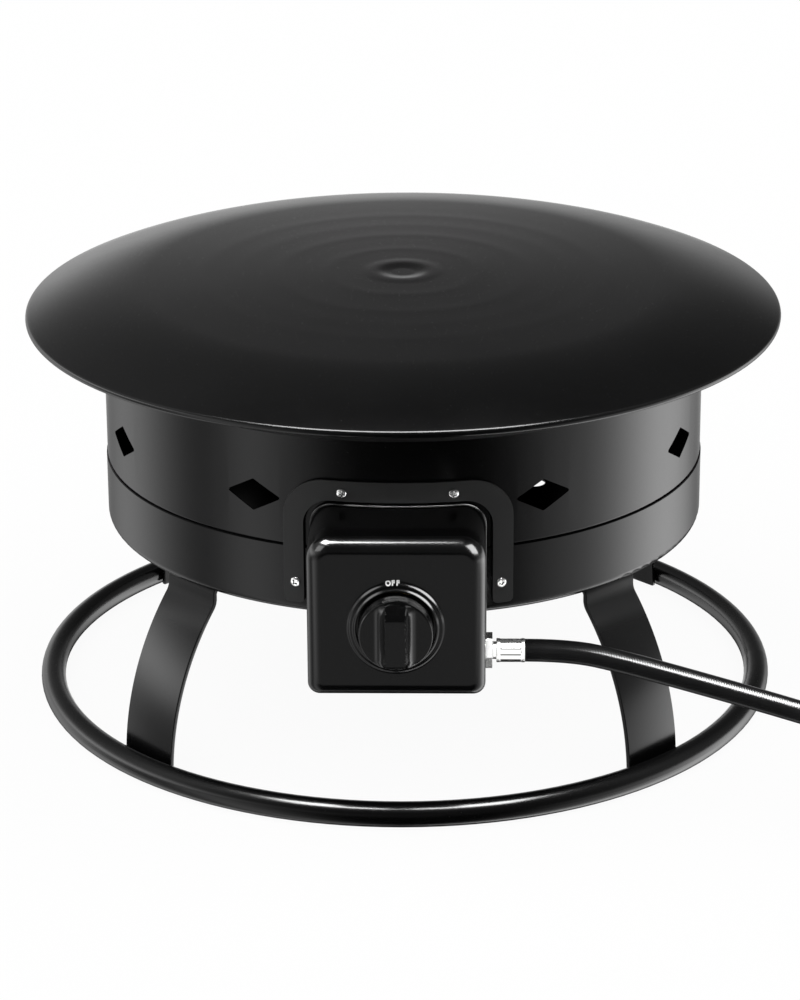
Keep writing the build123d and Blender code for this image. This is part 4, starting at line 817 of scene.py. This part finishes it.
def box_outline(inset):
    """Outline of the box's front in x and z, drawn in by an inset, with as many points for any inset."""
    half, low, high = BOX_HALF - inset, BOX_LOW + inset, BOX_TOP - inset
    upper, lower = max(BOX_UPPER_CORNER - inset, 0.004), max(BOX_LOWER_CORNER - 0.6 * inset, 0.0015)
    points = []
    for x, z, start, r in ((1, 1, 0, upper), (-1, 1, 90, upper), (-1, -1, 180, lower), (1, -1, 270, lower)):
        a = np.radians(start + np.linspace(0, 90, 12))
        centre = np.array([x * (half - r), high - r if z > 0 else low + r])
        points.append(centre + r * np.stack([np.cos(a), np.sin(a)], -1))
    closed = []
    for corner, following in zip(points, points[1:] + points[:1]):
        t = np.linspace(0, 1, 14)[1:-1, None]
        closed += [corner, corner[-1] + t * (following[0] - corner[-1])]
    return np.concatenate(closed)


def box_rows(edge):
    """Shell of the box: rear on the drum's cylinder, low lip round it, walls, round front edge, flat front.

    Its top rises from the drum to the front edge, and less and less down to half its height.
    """
    middle = np.array([0.0, BOX_MIDDLE])
    rows, lip = [], BOX_LIP

    def ring(flat, y):
        rows.append(np.stack([flat[:, 0], y + 0 * flat[:, 0], flat[:, 1]], -1))

    def rear(flat):
        return -np.sqrt(BOX_REAR**2 - flat[:, 0] ** 2)

    for share in (0.0, 0.5, 0.92):
        flat = middle + share * (box_outline(0) - middle)
        ring(flat, rear(flat))
    for inset, forward in ((0.0, 0.0), (-lip, 0.0), (-lip, BOX_LIP_LENGTH)):
        ring(box_outline(inset), rear(box_outline(inset)) - forward)
    for a in np.radians(np.linspace(15, 90, 6)):
        flat = box_outline(-lip * math.cos(a))
        ring(flat, rear(flat) - BOX_LIP_LENGTH - lip * math.sin(a))
    flat = box_outline(0)
    for share in (0.3, 0.7):
        ring(flat, (1 - share) * (rear(flat) - 0.004) - share * (BOX_FACE - edge))
    for a in np.linspace(0, np.pi / 2, 16):
        ring(box_outline(edge * (1 - math.cos(a))), -BOX_FACE + edge * (1 - math.sin(a)))
    inner = box_outline(edge)
    for share in (0.96, 0.5, 0.0):
        ring(middle + share * (inner - middle), -BOX_FACE)
    rows = np.stack(rows)
    forward = np.clip((-rows[..., 1] - FLANGE_FACE) / (BOX_FACE - edge - FLANGE_FACE), 0, 1)
    rows[..., 2] += BOX_RISE * forward * np.clip((rows[..., 2] - BOX_MIDDLE) / (BOX_TOP - BOX_MIDDLE), 0, 1)
    return rows


class FIREPIT_OT_box(bpy.types.Operator):
    """Mould the control box with its soft edges"""

    bl_idname = "firepit.box"
    bl_label = "Control box"

    def execute(self, context):
        rows = box_rows(context.scene.firepit_metal.box_edge)
        make_piece("moulded_box", [(rows, False, True)], "base", "box_plastic", replaces=("control_box",), sharp=40)
        return {"FINISHED"}


# ---- knob, bezel, print and screws

BAR_RISE = 0.0120     # height of the knob's bar
BAR_HALF = 0.0061     # half its width at the top
BAR_FOOT = 0.0136     # and at the foot of its flanks
BAR_END = 0.0152      # where its ends begin to fall
BAR_END_RUN = 0.0058
KNOB_FACE = 0.0207    # radius of the face
KNOB_EDGE = 0.0012    # radius of its edge
# The skirt behind the edge, its rim and the hollow back: radius and distance behind the face
KNOB_SKIRT = (
    (0.0222, 0.0045), (0.0225, 0.0085), (0.0225, 0.0092), (0.0222, 0.0095),
    (0.0208, 0.0095), (0.0205, 0.0090), (0.0196, 0.0020), (0.0, 0.0020),
)


def knob_relief(x, z):
    """Height of the knob's front above its face: a bar with hollow flanks and steep straight ends."""
    t = np.clip((BAR_FOOT - np.abs(x)) / (BAR_FOOT - BAR_HALF), 0, 1)
    flank = 1 - np.sqrt(1 - t**2 * 0.9975)
    flank = flank / flank.max()
    slope = (np.abs(z) - BAR_END) / BAR_END_RUN
    ends = 1 - np.clip((slope + np.sqrt(slope**2 + 0.006)) / 2, 0, 1)
    return BAR_RISE * flank * ends


class FIREPIT_OT_knob(bpy.types.Operator):
    """Mould the control knob, its bar standing off the skirt"""

    bl_idname = "firepit.knob"
    bl_label = "Knob"

    def execute(self, context):
        angle = full_turn(144)
        r = np.linspace(0, KNOB_FACE, 90)[:, None]
        x, z = r * np.sin(angle), r * np.cos(angle)
        front = np.stack([x, -KNOB_FACE_AT - knob_relief(x, z), KNOB_HEIGHT + z], -1)
        bend = np.linspace(0, 1, 7)[1:] * np.pi / 2
        edge = np.stack([KNOB_FACE + KNOB_EDGE * np.sin(bend), KNOB_EDGE * (1 - np.cos(bend))], -1)
        r, back = np.concatenate([edge, KNOB_SKIRT]).T[..., None]
        skirt = np.stack([r * np.sin(angle), back - KNOB_FACE_AT + 0 * angle, KNOB_HEIGHT + r * np.cos(angle)], -1)
        make_piece(
            "grip_knob", [(np.concatenate([front, skirt]), False, True)], "knob", "knob_plastic", replaces=("knob",),
            sharp=50,
        )
        return {"FINISHED"}


# Bezel, in millimetres: radius of its crest and of its outer end, and its two steps as radius, half width, share
BEZEL_CREST, BEZEL_END = 23.9, 32.4
BEZEL_STEPS = ((24.9, 0.75, 1.0), (28.0, 0.85, 0.9))


def bezel_section():
    """Section of the bezel as radius and height over the box's face.

    Straight wall of the hole, a small inner edge, then a fall of 2.6 mm in two soft steps, whose slope is
    two bell curves over a low ramp, out to the face.
    """
    a = np.radians(np.linspace(180, 90, 7))
    inner = np.stack([BEZEL_CREST + 0.5 * np.cos(a), 2.1 + 0.5 * np.sin(a)], -1)
    r = np.linspace(BEZEL_CREST, BEZEL_END, 60)[1:]
    fall = sum(share * np.exp(-(((r - step) / width) ** 2)) for step, width, share in BEZEL_STEPS)
    fall = fall + 0.1 * smoothstep(r, 24, 25) * (BEZEL_END - r) / 4
    rest = np.cumsum(fall[::-1])[::-1]
    slope = np.stack([r, 0.02 + 2.58 * rest / rest[0]], -1)
    return np.concatenate([[(23.4, -1.0)], inner, slope, [(32.45, -0.3), (32.0, -1.0)]]) / 1000


class FIREPIT_OT_bezel(bpy.types.Operator):
    """Mould the bezel that stands round the knob"""

    bl_idname = "firepit.bezel"
    bl_label = "Bezel"

    def execute(self, context):
        rows = revolve(bezel_section(), 192)
        rows = np.stack([rows[..., 0], -BOX_FACE - rows[..., 2], KNOB_HEIGHT - rows[..., 1]], -1)
        make_piece("dished_bezel", [(rows, True, True)], "base", "box_plastic", replaces=("knob_bezel",), sharp=50)
        return {"FINISHED"}


PRINT_RADIUS = 0.0287   # of the letters' middles about the knob's axis
PRINT_HEIGHT = 0.0039
PRINT_BOLDER = 0.00022  # how far the letters' outlines are moved out
PRINT_LIFT = 0.00006    # of the print off the bezel
PRINT_LETTERS = (("O", -0.156), ("F", -0.053), ("F", 0.044))  # with their angles in radians


class FIREPIT_OT_print(bpy.types.Operator):
    """Print the word OFF on the bezel above the knob"""

    bl_idname = "firepit.print"
    bl_label = "Printed mark"

    def execute(self, context):
        section = bezel_section()[1:-2]
        work = bmesh.new()
        for letter, angle in PRINT_LETTERS:
            text = bpy.data.curves.new("letter", "FONT")
            text.body, text.size, text.align_x, text.align_y = letter, PRINT_HEIGHT, "CENTER", "CENTER"
            text.offset = PRINT_BOLDER
            holder = new_object("letter", text)
            flat = bpy.data.meshes.new_from_object(holder.evaluated_get(context.evaluated_depsgraph_get()))
            bpy.data.objects.remove(holder)
            bpy.data.curves.remove(text)
            part = bmesh.new()
            part.from_mesh(flat)
            bmesh.ops.triangulate(part, faces=part.faces)
            bmesh.ops.subdivide_edges(part, edges=part.edges, cuts=2, use_grid_fill=True)
            part.to_mesh(flat)
            part.free()
            co = np.zeros(len(flat.vertices) * 3)
            flat.vertices.foreach_get("co", co)
            co = co.reshape(-1, 3)
            c, s = math.cos(angle), math.sin(angle)
            x = co[:, 0] * c + (co[:, 1] + PRINT_RADIUS) * s
            z = -co[:, 0] * s + (co[:, 1] + PRINT_RADIUS) * c
            rise = np.interp(np.hypot(x, z), section[:, 0], section[:, 1])
            flat.vertices.foreach_set("co", np.stack([x, -BOX_FACE - rise - PRINT_LIFT, z + KNOB_HEIGHT], -1).ravel())
            work.from_mesh(flat)
        mesh = bpy.data.meshes.new("off_mark")
        work.to_mesh(mesh)
        work.free()
        settle("off_mark", mesh, "base", None, printed_white(context.scene.firepit_finishes.print_white), (), 60)
        return {"FINISHED"}


# Flange screws: x, height, and how far the cross is turned, in radians
SCREWS = ((-0.0334, 0.2010, 0.3), (0.0334, 0.2010, 1.2), (-0.0620, 0.1408, 0.75), (0.0620, 0.1408, 0.1))


def screw_rows(head, rise):
    """Pan head with a cross recess.

    The dome is 0.55 + 0.45 sqrt(1 - (r / R)^2.6) of the rise, less a cross whose arms taper with depth.
    """
    outer = head / 2
    angle = full_turn(64)
    r = np.concatenate([np.linspace(0, 0.92, 26), [0.96, 0.985, 1.0]])[:, None] * outer
    x, z = r * np.cos(angle), r * np.sin(angle)
    dome = rise * (0.55 + 0.45 * np.sqrt(np.clip(1 - (r / outer) ** 2.6, 0, 1)))
    arm = np.minimum(np.abs(x), np.abs(z)) / (outer * 0.17)
    reach = np.maximum(np.abs(x), np.abs(z)) / (outer * 0.62)
    recess = rise * 0.62 * (1 - smoothstep(arm, 0.7, 1.25)) * (1 - smoothstep(reach, 0.55, 1.0))
    top = np.stack([x, -(dome - recess) + 0 * x, z], -1)
    wall = np.stack([outer * np.cos(angle), 0 * angle, outer * np.sin(angle)], -1)[None]
    base = np.zeros_like(wall)
    return np.concatenate([top, wall, base])


class FIREPIT_OT_screws(bpy.types.Operator):
    """Set the four pan-head screws of the control flange"""

    bl_idname = "firepit.screws"
    bl_label = "Flange screws"

    def execute(self, context):
        size = context.scene.firepit_metal
        grids = []
        for x, z, twist in SCREWS:
            across, out, up = np.moveaxis(screw_rows(size.screw_head, size.screw_rise), -1, 0)
            c, s = math.cos(twist), math.sin(twist)
            rows = np.stack([across * c - up * s, out, across * s + up * c], -1)
            rows = turned(rows + (0, -FLANGE_FACE, 0), math.asin(x / FLANGE_FACE)) + (0, 0, z)
            grids.append((rows, False, True))
        make_piece("pan_head_screws", grids, "base", "chrome", replaces=("flange_screws",), sharp=55)
        return {"FINISHED"}


# ---- hardware, ferrule and finishes of the remaining CAD nodes

# CAD nodes whose edges are rounded, and how wide
ROUNDED = {
    "leg_bolts": 0.0003, "leg_nuts": 0.0003, "inlet_nut": 0.0004, "regulator_ferrule": 0.0003,
    "valve_nut": 0.0003, "pipe_nuts": 0.0003, "burner_orifice": 0.0003, "burner_locknut": 0.0004,
    "regulator_body": 0.0006, "regulator_bonnet": 0.0006, "regulator_screws": 0.0004, "coupling_nut": 0.0004,
    "regulator_nipple": 0.0003,
}

# Ferrule of the hose: distance of its pressed flats and of the ridges between them, then, in millimetres from
# the nut, the neck with the collar, the rings of the pressed stretch, and the bead at the hose's end
FERRULE_FLATS = 12
FERRULE_FLAT, FERRULE_RIDGE = 0.00690, 0.00712
FERRULE_LENGTH = 0.0193
FERRULE_CRIMP = (0.0148, 0.0022)  # where the pressed stretch starts and ends, back from the hose's end
FERRULE_COLLAR = (
    (0, 0), (0, 5.1), (0.2, 5.3), (2.3, 5.3), (2.3, 7.0), (2.38, 7.18), (2.6, 7.25), (4.2, 7.25), (4.45, 7.15),
)
FERRULE_PRESSED = (4.7, 5.2, 8.0, 11.0, 14.0, 16.4, 16.9)
FERRULE_BEAD = ((17.15, 7.15), (17.4, 7.25), (19.0, 7.25), (19.22, 7.18), (19.3, 7.0), (19.3, 0))


def ferrule_rows(end):
    """Rings of the hose's ferrule along x, up to its end: neck, collar, pressed crimp, bead.

    Between the collar and the bead the radius is the flat's distance over the cosine of the angle from the
    middle of the flat, cut off at the ridges.
    """
    angle = full_turn(96)
    pressed = FERRULE_FLAT / np.cos((angle % (2 * np.pi / FERRULE_FLATS)) - np.pi / FERRULE_FLATS)
    rings = [(x, 0.001 * r + 0 * angle) for x, r in FERRULE_COLLAR]
    rings += [(x, np.minimum(pressed, FERRULE_RIDGE)) for x in FERRULE_PRESSED]
    rings += [(x, 0.001 * r + 0 * angle) for x, r in FERRULE_BEAD]
    start = end[0] - FERRULE_LENGTH
    return np.stack([
        np.stack([start + 0.001 * x + 0 * angle, end[1] + r * np.cos(angle), end[2] + r * np.sin(angle)], -1)
        for x, r in rings
    ])


class FIREPIT_OT_hardware(bpy.types.Operator):
    """Round the cut edges of the small hardware and press the hose's ferrule"""

    bl_idname = "firepit.hardware"
    bl_label = "Rounded edges"

    def execute(self, context):
        for node, width in ROUNDED.items():
            edge_rounded(node, width)
        end = HOSE_LEAD[0]
        crimp = crimped_nickel(end, *(end[0] - back for back in FERRULE_CRIMP))
        make_piece(
            "crimped_ferrule", [(ferrule_rows(end), False, True)], node_body("hose_ferrule"), "chrome", crimp,
            ("hose_ferrule",),
        )
        return {"FINISHED"}


class FIREPIT_OT_nodes(bpy.types.Operator):
    """Give each CAD node that still shows its finish"""

    bl_idname = "firepit.nodes"
    bl_label = "Finishes of the CAD nodes"

    def execute(self, context):
        finishes = finish_set()
        for part in frame["record"]["subparts"]:
            node = frame["nodes"][part["node"]]
            if node.hide_render:
                continue
            finish = finishes["satin_black" if part["node"] == "control_flange" else part["material_slot"]]
            if node.material_slots:
                for place in node.material_slots:
                    place.material = finish
            else:
                node.data.materials.append(finish)
        return {"FINISHED"}


# Pieces that hang on the hose's far end
HOSE_END = (
    "regulator_ferrule_rounded", "regulator_body_rounded", "regulator_bonnet_rounded", "regulator_screws_rounded",
    "regulator_nipple_rounded", "nipple_seal", "coupling_nut_rounded",
)


class FIREPIT_OT_cord(bpy.types.Operator):
    bl_idname = "firepit.cord"
    bl_label = "Hose facts"

    def execute(self, context):
        return {"FINISHED"}


# ---- stage

def band(tree, direction, azimuth, sharpness):
    """Upright band of light: exp(sharpness x (cos of the angle from its azimuth - 1))."""
    x, y, flat = direction
    a = math.radians(azimuth)
    facing = (x * math.sin(a) - y * math.cos(a)) / flat
    return tree.calc("EXPONENT", (facing - 1.0) * sharpness)


def bell(tree, value, middle, width):
    """Bell curve exp(-((value - middle) / width)^2)."""
    offset = (value - middle) / width
    return tree.calc("EXPONENT", offset * offset * -1.0)


def studio_world(scene):
    """Walls of a studio as a function of direction: pale panels low at the sides, a dim room above."""
    world = bpy.data.worlds.new("studio")
    scene.world = world
    tree = Tree(world)
    x, y, z = tree.parts(tree.node("TexCoord", output="Generated"))
    direction = (x, y, (x * x + y * y) ** 0.5 + 1e-4)

    def panel(azimuth, sharpness):
        return band(tree, direction, azimuth, sharpness)

    back = panel(180, 25)
    right = panel(110, 8) * 3.1 * tree.step(z, 0.12, -0.08) * (1 - back)
    sides = (panel(62, 20) * 0.42 + panel(-60, 30) * 0.85 + panel(-42, 30) * 0.35) * tree.step(z, 0.0, -0.14)
    left = panel(-120, 8) * 1.05 * tree.step(z, 0.02, -0.10) * (1 - back)
    left = left + panel(-95, 4) * 2.3 * bell(tree, z, 0.139, 0.15)
    behind = panel(-172, 10) * 0.65 * tree.step(z, 0.32, 0.05) * tree.step(z, -0.36, -0.15)
    behind = behind + back * tree.step(z, -0.12, -0.26) * tree.step(z, -0.42, -0.32)
    walls = (panel(-140, 4) * 0.13 + panel(-90, 6) * 0.5 + panel(95, 6) * 0.25) * tree.step(z, 0.95, 0.7)
    room = (walls + 0.05) * tree.step(z, -0.08, 0.02)
    strength = right + sides + left + behind + room
    background = tree.node("Background", None, {"Color": (1, 1, 1, 1), "Strength": strength})
    tree.node("OutputWorld", None, {"Surface": background})


def paper(name, colour, shade):
    """Pale paper that shows near white to the camera and keeps a share of its own shading."""
    tree = new_material(name)
    rays = tree.node("LightPath").socket.node.outputs
    camera, glossy, through = (Value(tree, rays[f"Is {kind} Ray"]) for kind in ("Camera", "Glossy", "Transmission"))
    seen = tree.calc("MAXIMUM", camera, tree.calc("MAXIMUM", glossy, through))
    grain = tree.noise(tree.place(), 0.004, 2.0)
    sheet = tree.mix(grain, [c * 0.985 for c in colour], colour)
    matt = tree.node("BsdfPrincipled", None, {"Base Color": sheet, "Roughness": 0.9, "Specular IOR Level": 0.0})
    white = tree.node("Emission", None, {"Color": (1, 1, 1, 1), "Strength": 1.0})
    both = tree.node("MixShader", None, {0: seen * (1 - shade), 1: matt, 2: white})
    tree.node("OutputMaterial", None, {"Surface": both})
    return tree.owner


# Fill lamps, and where each shines from
FILLS = (("fill_left", (-1.5, -0.4, 2.4)), ("fill_right", (1.6, 0.3, 2.2)), ("fill_front", (0.1, -1.8, 1.8)))


class FIREPIT_OT_stage(bpy.types.Operator):
    """Set the pale floor and backdrop, the studio walls and the soft lamps"""

    bl_idname = "firepit.stage"
    bl_label = "Stage"

    def execute(self, context):
        scene, size = context.scene, context.scene.firepit_stage
        scene.view_settings.view_transform = "Standard"
        studio_world(scene)
        angle = full_turn(96)
        r = np.concatenate([[0.0], np.geomspace(0.3, size.room, 24)])[:, None]
        floor = np.stack([r * np.cos(angle), r * np.sin(angle), 0 * r * angle - 0.0001], -1)
        up = np.linspace(0, np.pi / 2, 24)[:, None]
        out = np.cos(up)
        dome = size.room * np.stack([out * np.cos(angle), out * np.sin(angle), np.sin(up) + 0 * angle], -1)
        for name, grid, shade in (("floor", floor, size.shade), ("backdrop", dome, 0.0)):
            mesh = bpy.data.meshes.new(name)
            mesh.from_pydata(grid.reshape(-1, 3).tolist(), [], grid_faces(*grid.shape[:2]).tolist())
            mesh.materials.append(paper(f"{name}_paper", size.floor, shade))
            made = new_object(name, mesh)
            made.visible_glossy = False
        made.visible_diffuse = made.visible_shadow = False
        key = self.card("key_softbox", size.key, (1.8, 0.8), (0.0, -0.55, 2.0), (0.0, -0.1, 0.15))
        self.see(key, ("grip_knob", "gas_hose", "moulded_box", "spun_lid"), "EXCLUDE")
        for name, place in FILLS:
            fill = bpy.data.lights.new(name, "SUN")
            fill.energy, fill.angle = size.fill, math.radians(70)
            self.lamp(fill, place, (0, 0, 0)).visible_glossy = False
        box, screws, hose = ("moulded_box", "dished_bezel"), ("pan_head_screws",), ("gas_hose",)
        for name in screws + hose + HOSE_END:
            bpy.data.objects[name].visible_glossy = False
        fitting = ("crimped_ferrule", "inlet_nut_rounded")
        for name, glow, sides, place, target, seen in (
            ("front_card", size.front, (1.3, 0.5), (0.0, -0.66, 0.004), (0.0, -0.66, 1.0), box + ("grip_knob",)),
            ("side_card", 1.3, (0.7, 0.8), (0.85, -0.35, 0.004), (0.85, -0.35, 1.0), box),
            ("corner_card_right", 0.8 * size.corners, (0.9, 1.0), (0.88, -0.90, 0.84), (0.0, -0.256, 0.15), box),
            ("corner_card_left", 0.2 * size.corners, (0.8, 0.6), (-0.88, -0.90, 0.84), (0.0, -0.256, 0.15), box),
            ("screw_card", 1.4, (1.3, 0.7), (0.0, -0.62, 0.004), (0.0, -0.62, 1.0), screws),
            ("lid_card", 0.62 * size.key, (1.8, 0.8), (0.0, -0.55, 2.0), (0.0, -0.1, 0.15), ("spun_lid",)),
            ("box_card", 2.0 * size.key, (1.2, 0.75), (-0.63, -0.55, 2.0), (0.0, -0.1, 0.15), ("moulded_box",)),
            ("rim_card", 60.0, (0.10, 0.008), (0.0, -0.236, 0.234), (0.0, -0.1, 0.234), ("moulded_box",)),
            ("hose_card", 1.5 * size.key, (1.85, 0.3), (1.15, -0.55, 1.6), (0.25, -0.225, 0.08), hose),
        ):
            self.see(self.card(name, glow, sides, place, target), seen, "INCLUDE")
        room = bpy.data.lights.new("metal_room", "SUN")
        room.energy, room.angle = math.pi * size.metal, math.radians(175)
        room = self.lamp(room, (0.0, -1.0, 0.18), (0, 0, 0))
        room.visible_diffuse = False
        self.see(room, fitting, "INCLUDE")
        return {"FINISHED"}

    def see(self, lamp, pieces, state):
        """Lets a lamp show on these pieces only, or on all others."""
        lamp.light_linking.receiver_collection = bpy.data.collections.new(lamp.name)
        for piece in pieces:
            lamp.light_linking.receiver_collection.objects.link(bpy.data.objects[piece])
        for member in lamp.light_linking.receiver_collection.collection_objects:
            member.light_linking.link_state = state

    def card(self, name, glow, size, place, target):
        """Sheet of light that is seen only in gloss; its power grows with its area."""
        light = bpy.data.lights.new(name, "AREA")
        light.shape, light.size, light.size_y = "RECTANGLE", *size
        light.energy = glow * 4 * size[0] * size[1]
        made = self.lamp(light, place, target)
        made.visible_diffuse = False
        return made

    def lamp(self, light, place, target):
        """Links a lamp at a place, turned towards a target, hidden from the camera."""
        made = new_object(light.name, light)
        made.location = place
        made.rotation_mode = "QUATERNION"
        made.rotation_quaternion = (Vector(target) - Vector(place)).to_track_quat("-Z", "Y")
        made.visible_camera = False
        return made


# ---- panel and registration

STEPS = (
    FIREPIT_OT_camera, FIREPIT_OT_hose, FIREPIT_OT_lid, FIREPIT_OT_legs, FIREPIT_OT_box, FIREPIT_OT_knob,
    FIREPIT_OT_bezel, FIREPIT_OT_print, FIREPIT_OT_screws, FIREPIT_OT_hardware, FIREPIT_OT_nodes,
    FIREPIT_OT_cord, FIREPIT_OT_stage,
)


class FIREPIT_PT_panel(bpy.types.Panel):
    """Lists the steps in the order in which they run."""

    bl_idname = "FIREPIT_PT_panel"
    bl_label = "Fire Pit"
    bl_space_type = "VIEW_3D"
    bl_region_type = "UI"
    bl_category = "Fire Pit"

    def draw(self, context):
        for step in STEPS:
            self.layout.operator(step.bl_idname)
        for name, group in PROPERTY_GROUPS.items():
            box = self.layout.box()
            for prop in group.__annotations__:
                box.prop(getattr(context.scene, name), prop)


def register():
    for group in PROPERTY_GROUPS.values():
        bpy.utils.register_class(group)
    for name, group in PROPERTY_GROUPS.items():
        setattr(bpy.types.Scene, name, PointerProperty(type=group))
    for made in (*STEPS, FIREPIT_PT_panel):
        bpy.utils.register_class(made)


def unregister():
    for made in (FIREPIT_PT_panel, *reversed(STEPS)):
        bpy.utils.unregister_class(made)
    for name, group in PROPERTY_GROUPS.items():
        delattr(bpy.types.Scene, name)
        bpy.utils.unregister_class(group)


def main():
    register()
    for step in STEPS:
        group, name = step.bl_idname.split(".")
        getattr(getattr(bpy.ops, group), name)()


if __name__ == "__main__":
    main()
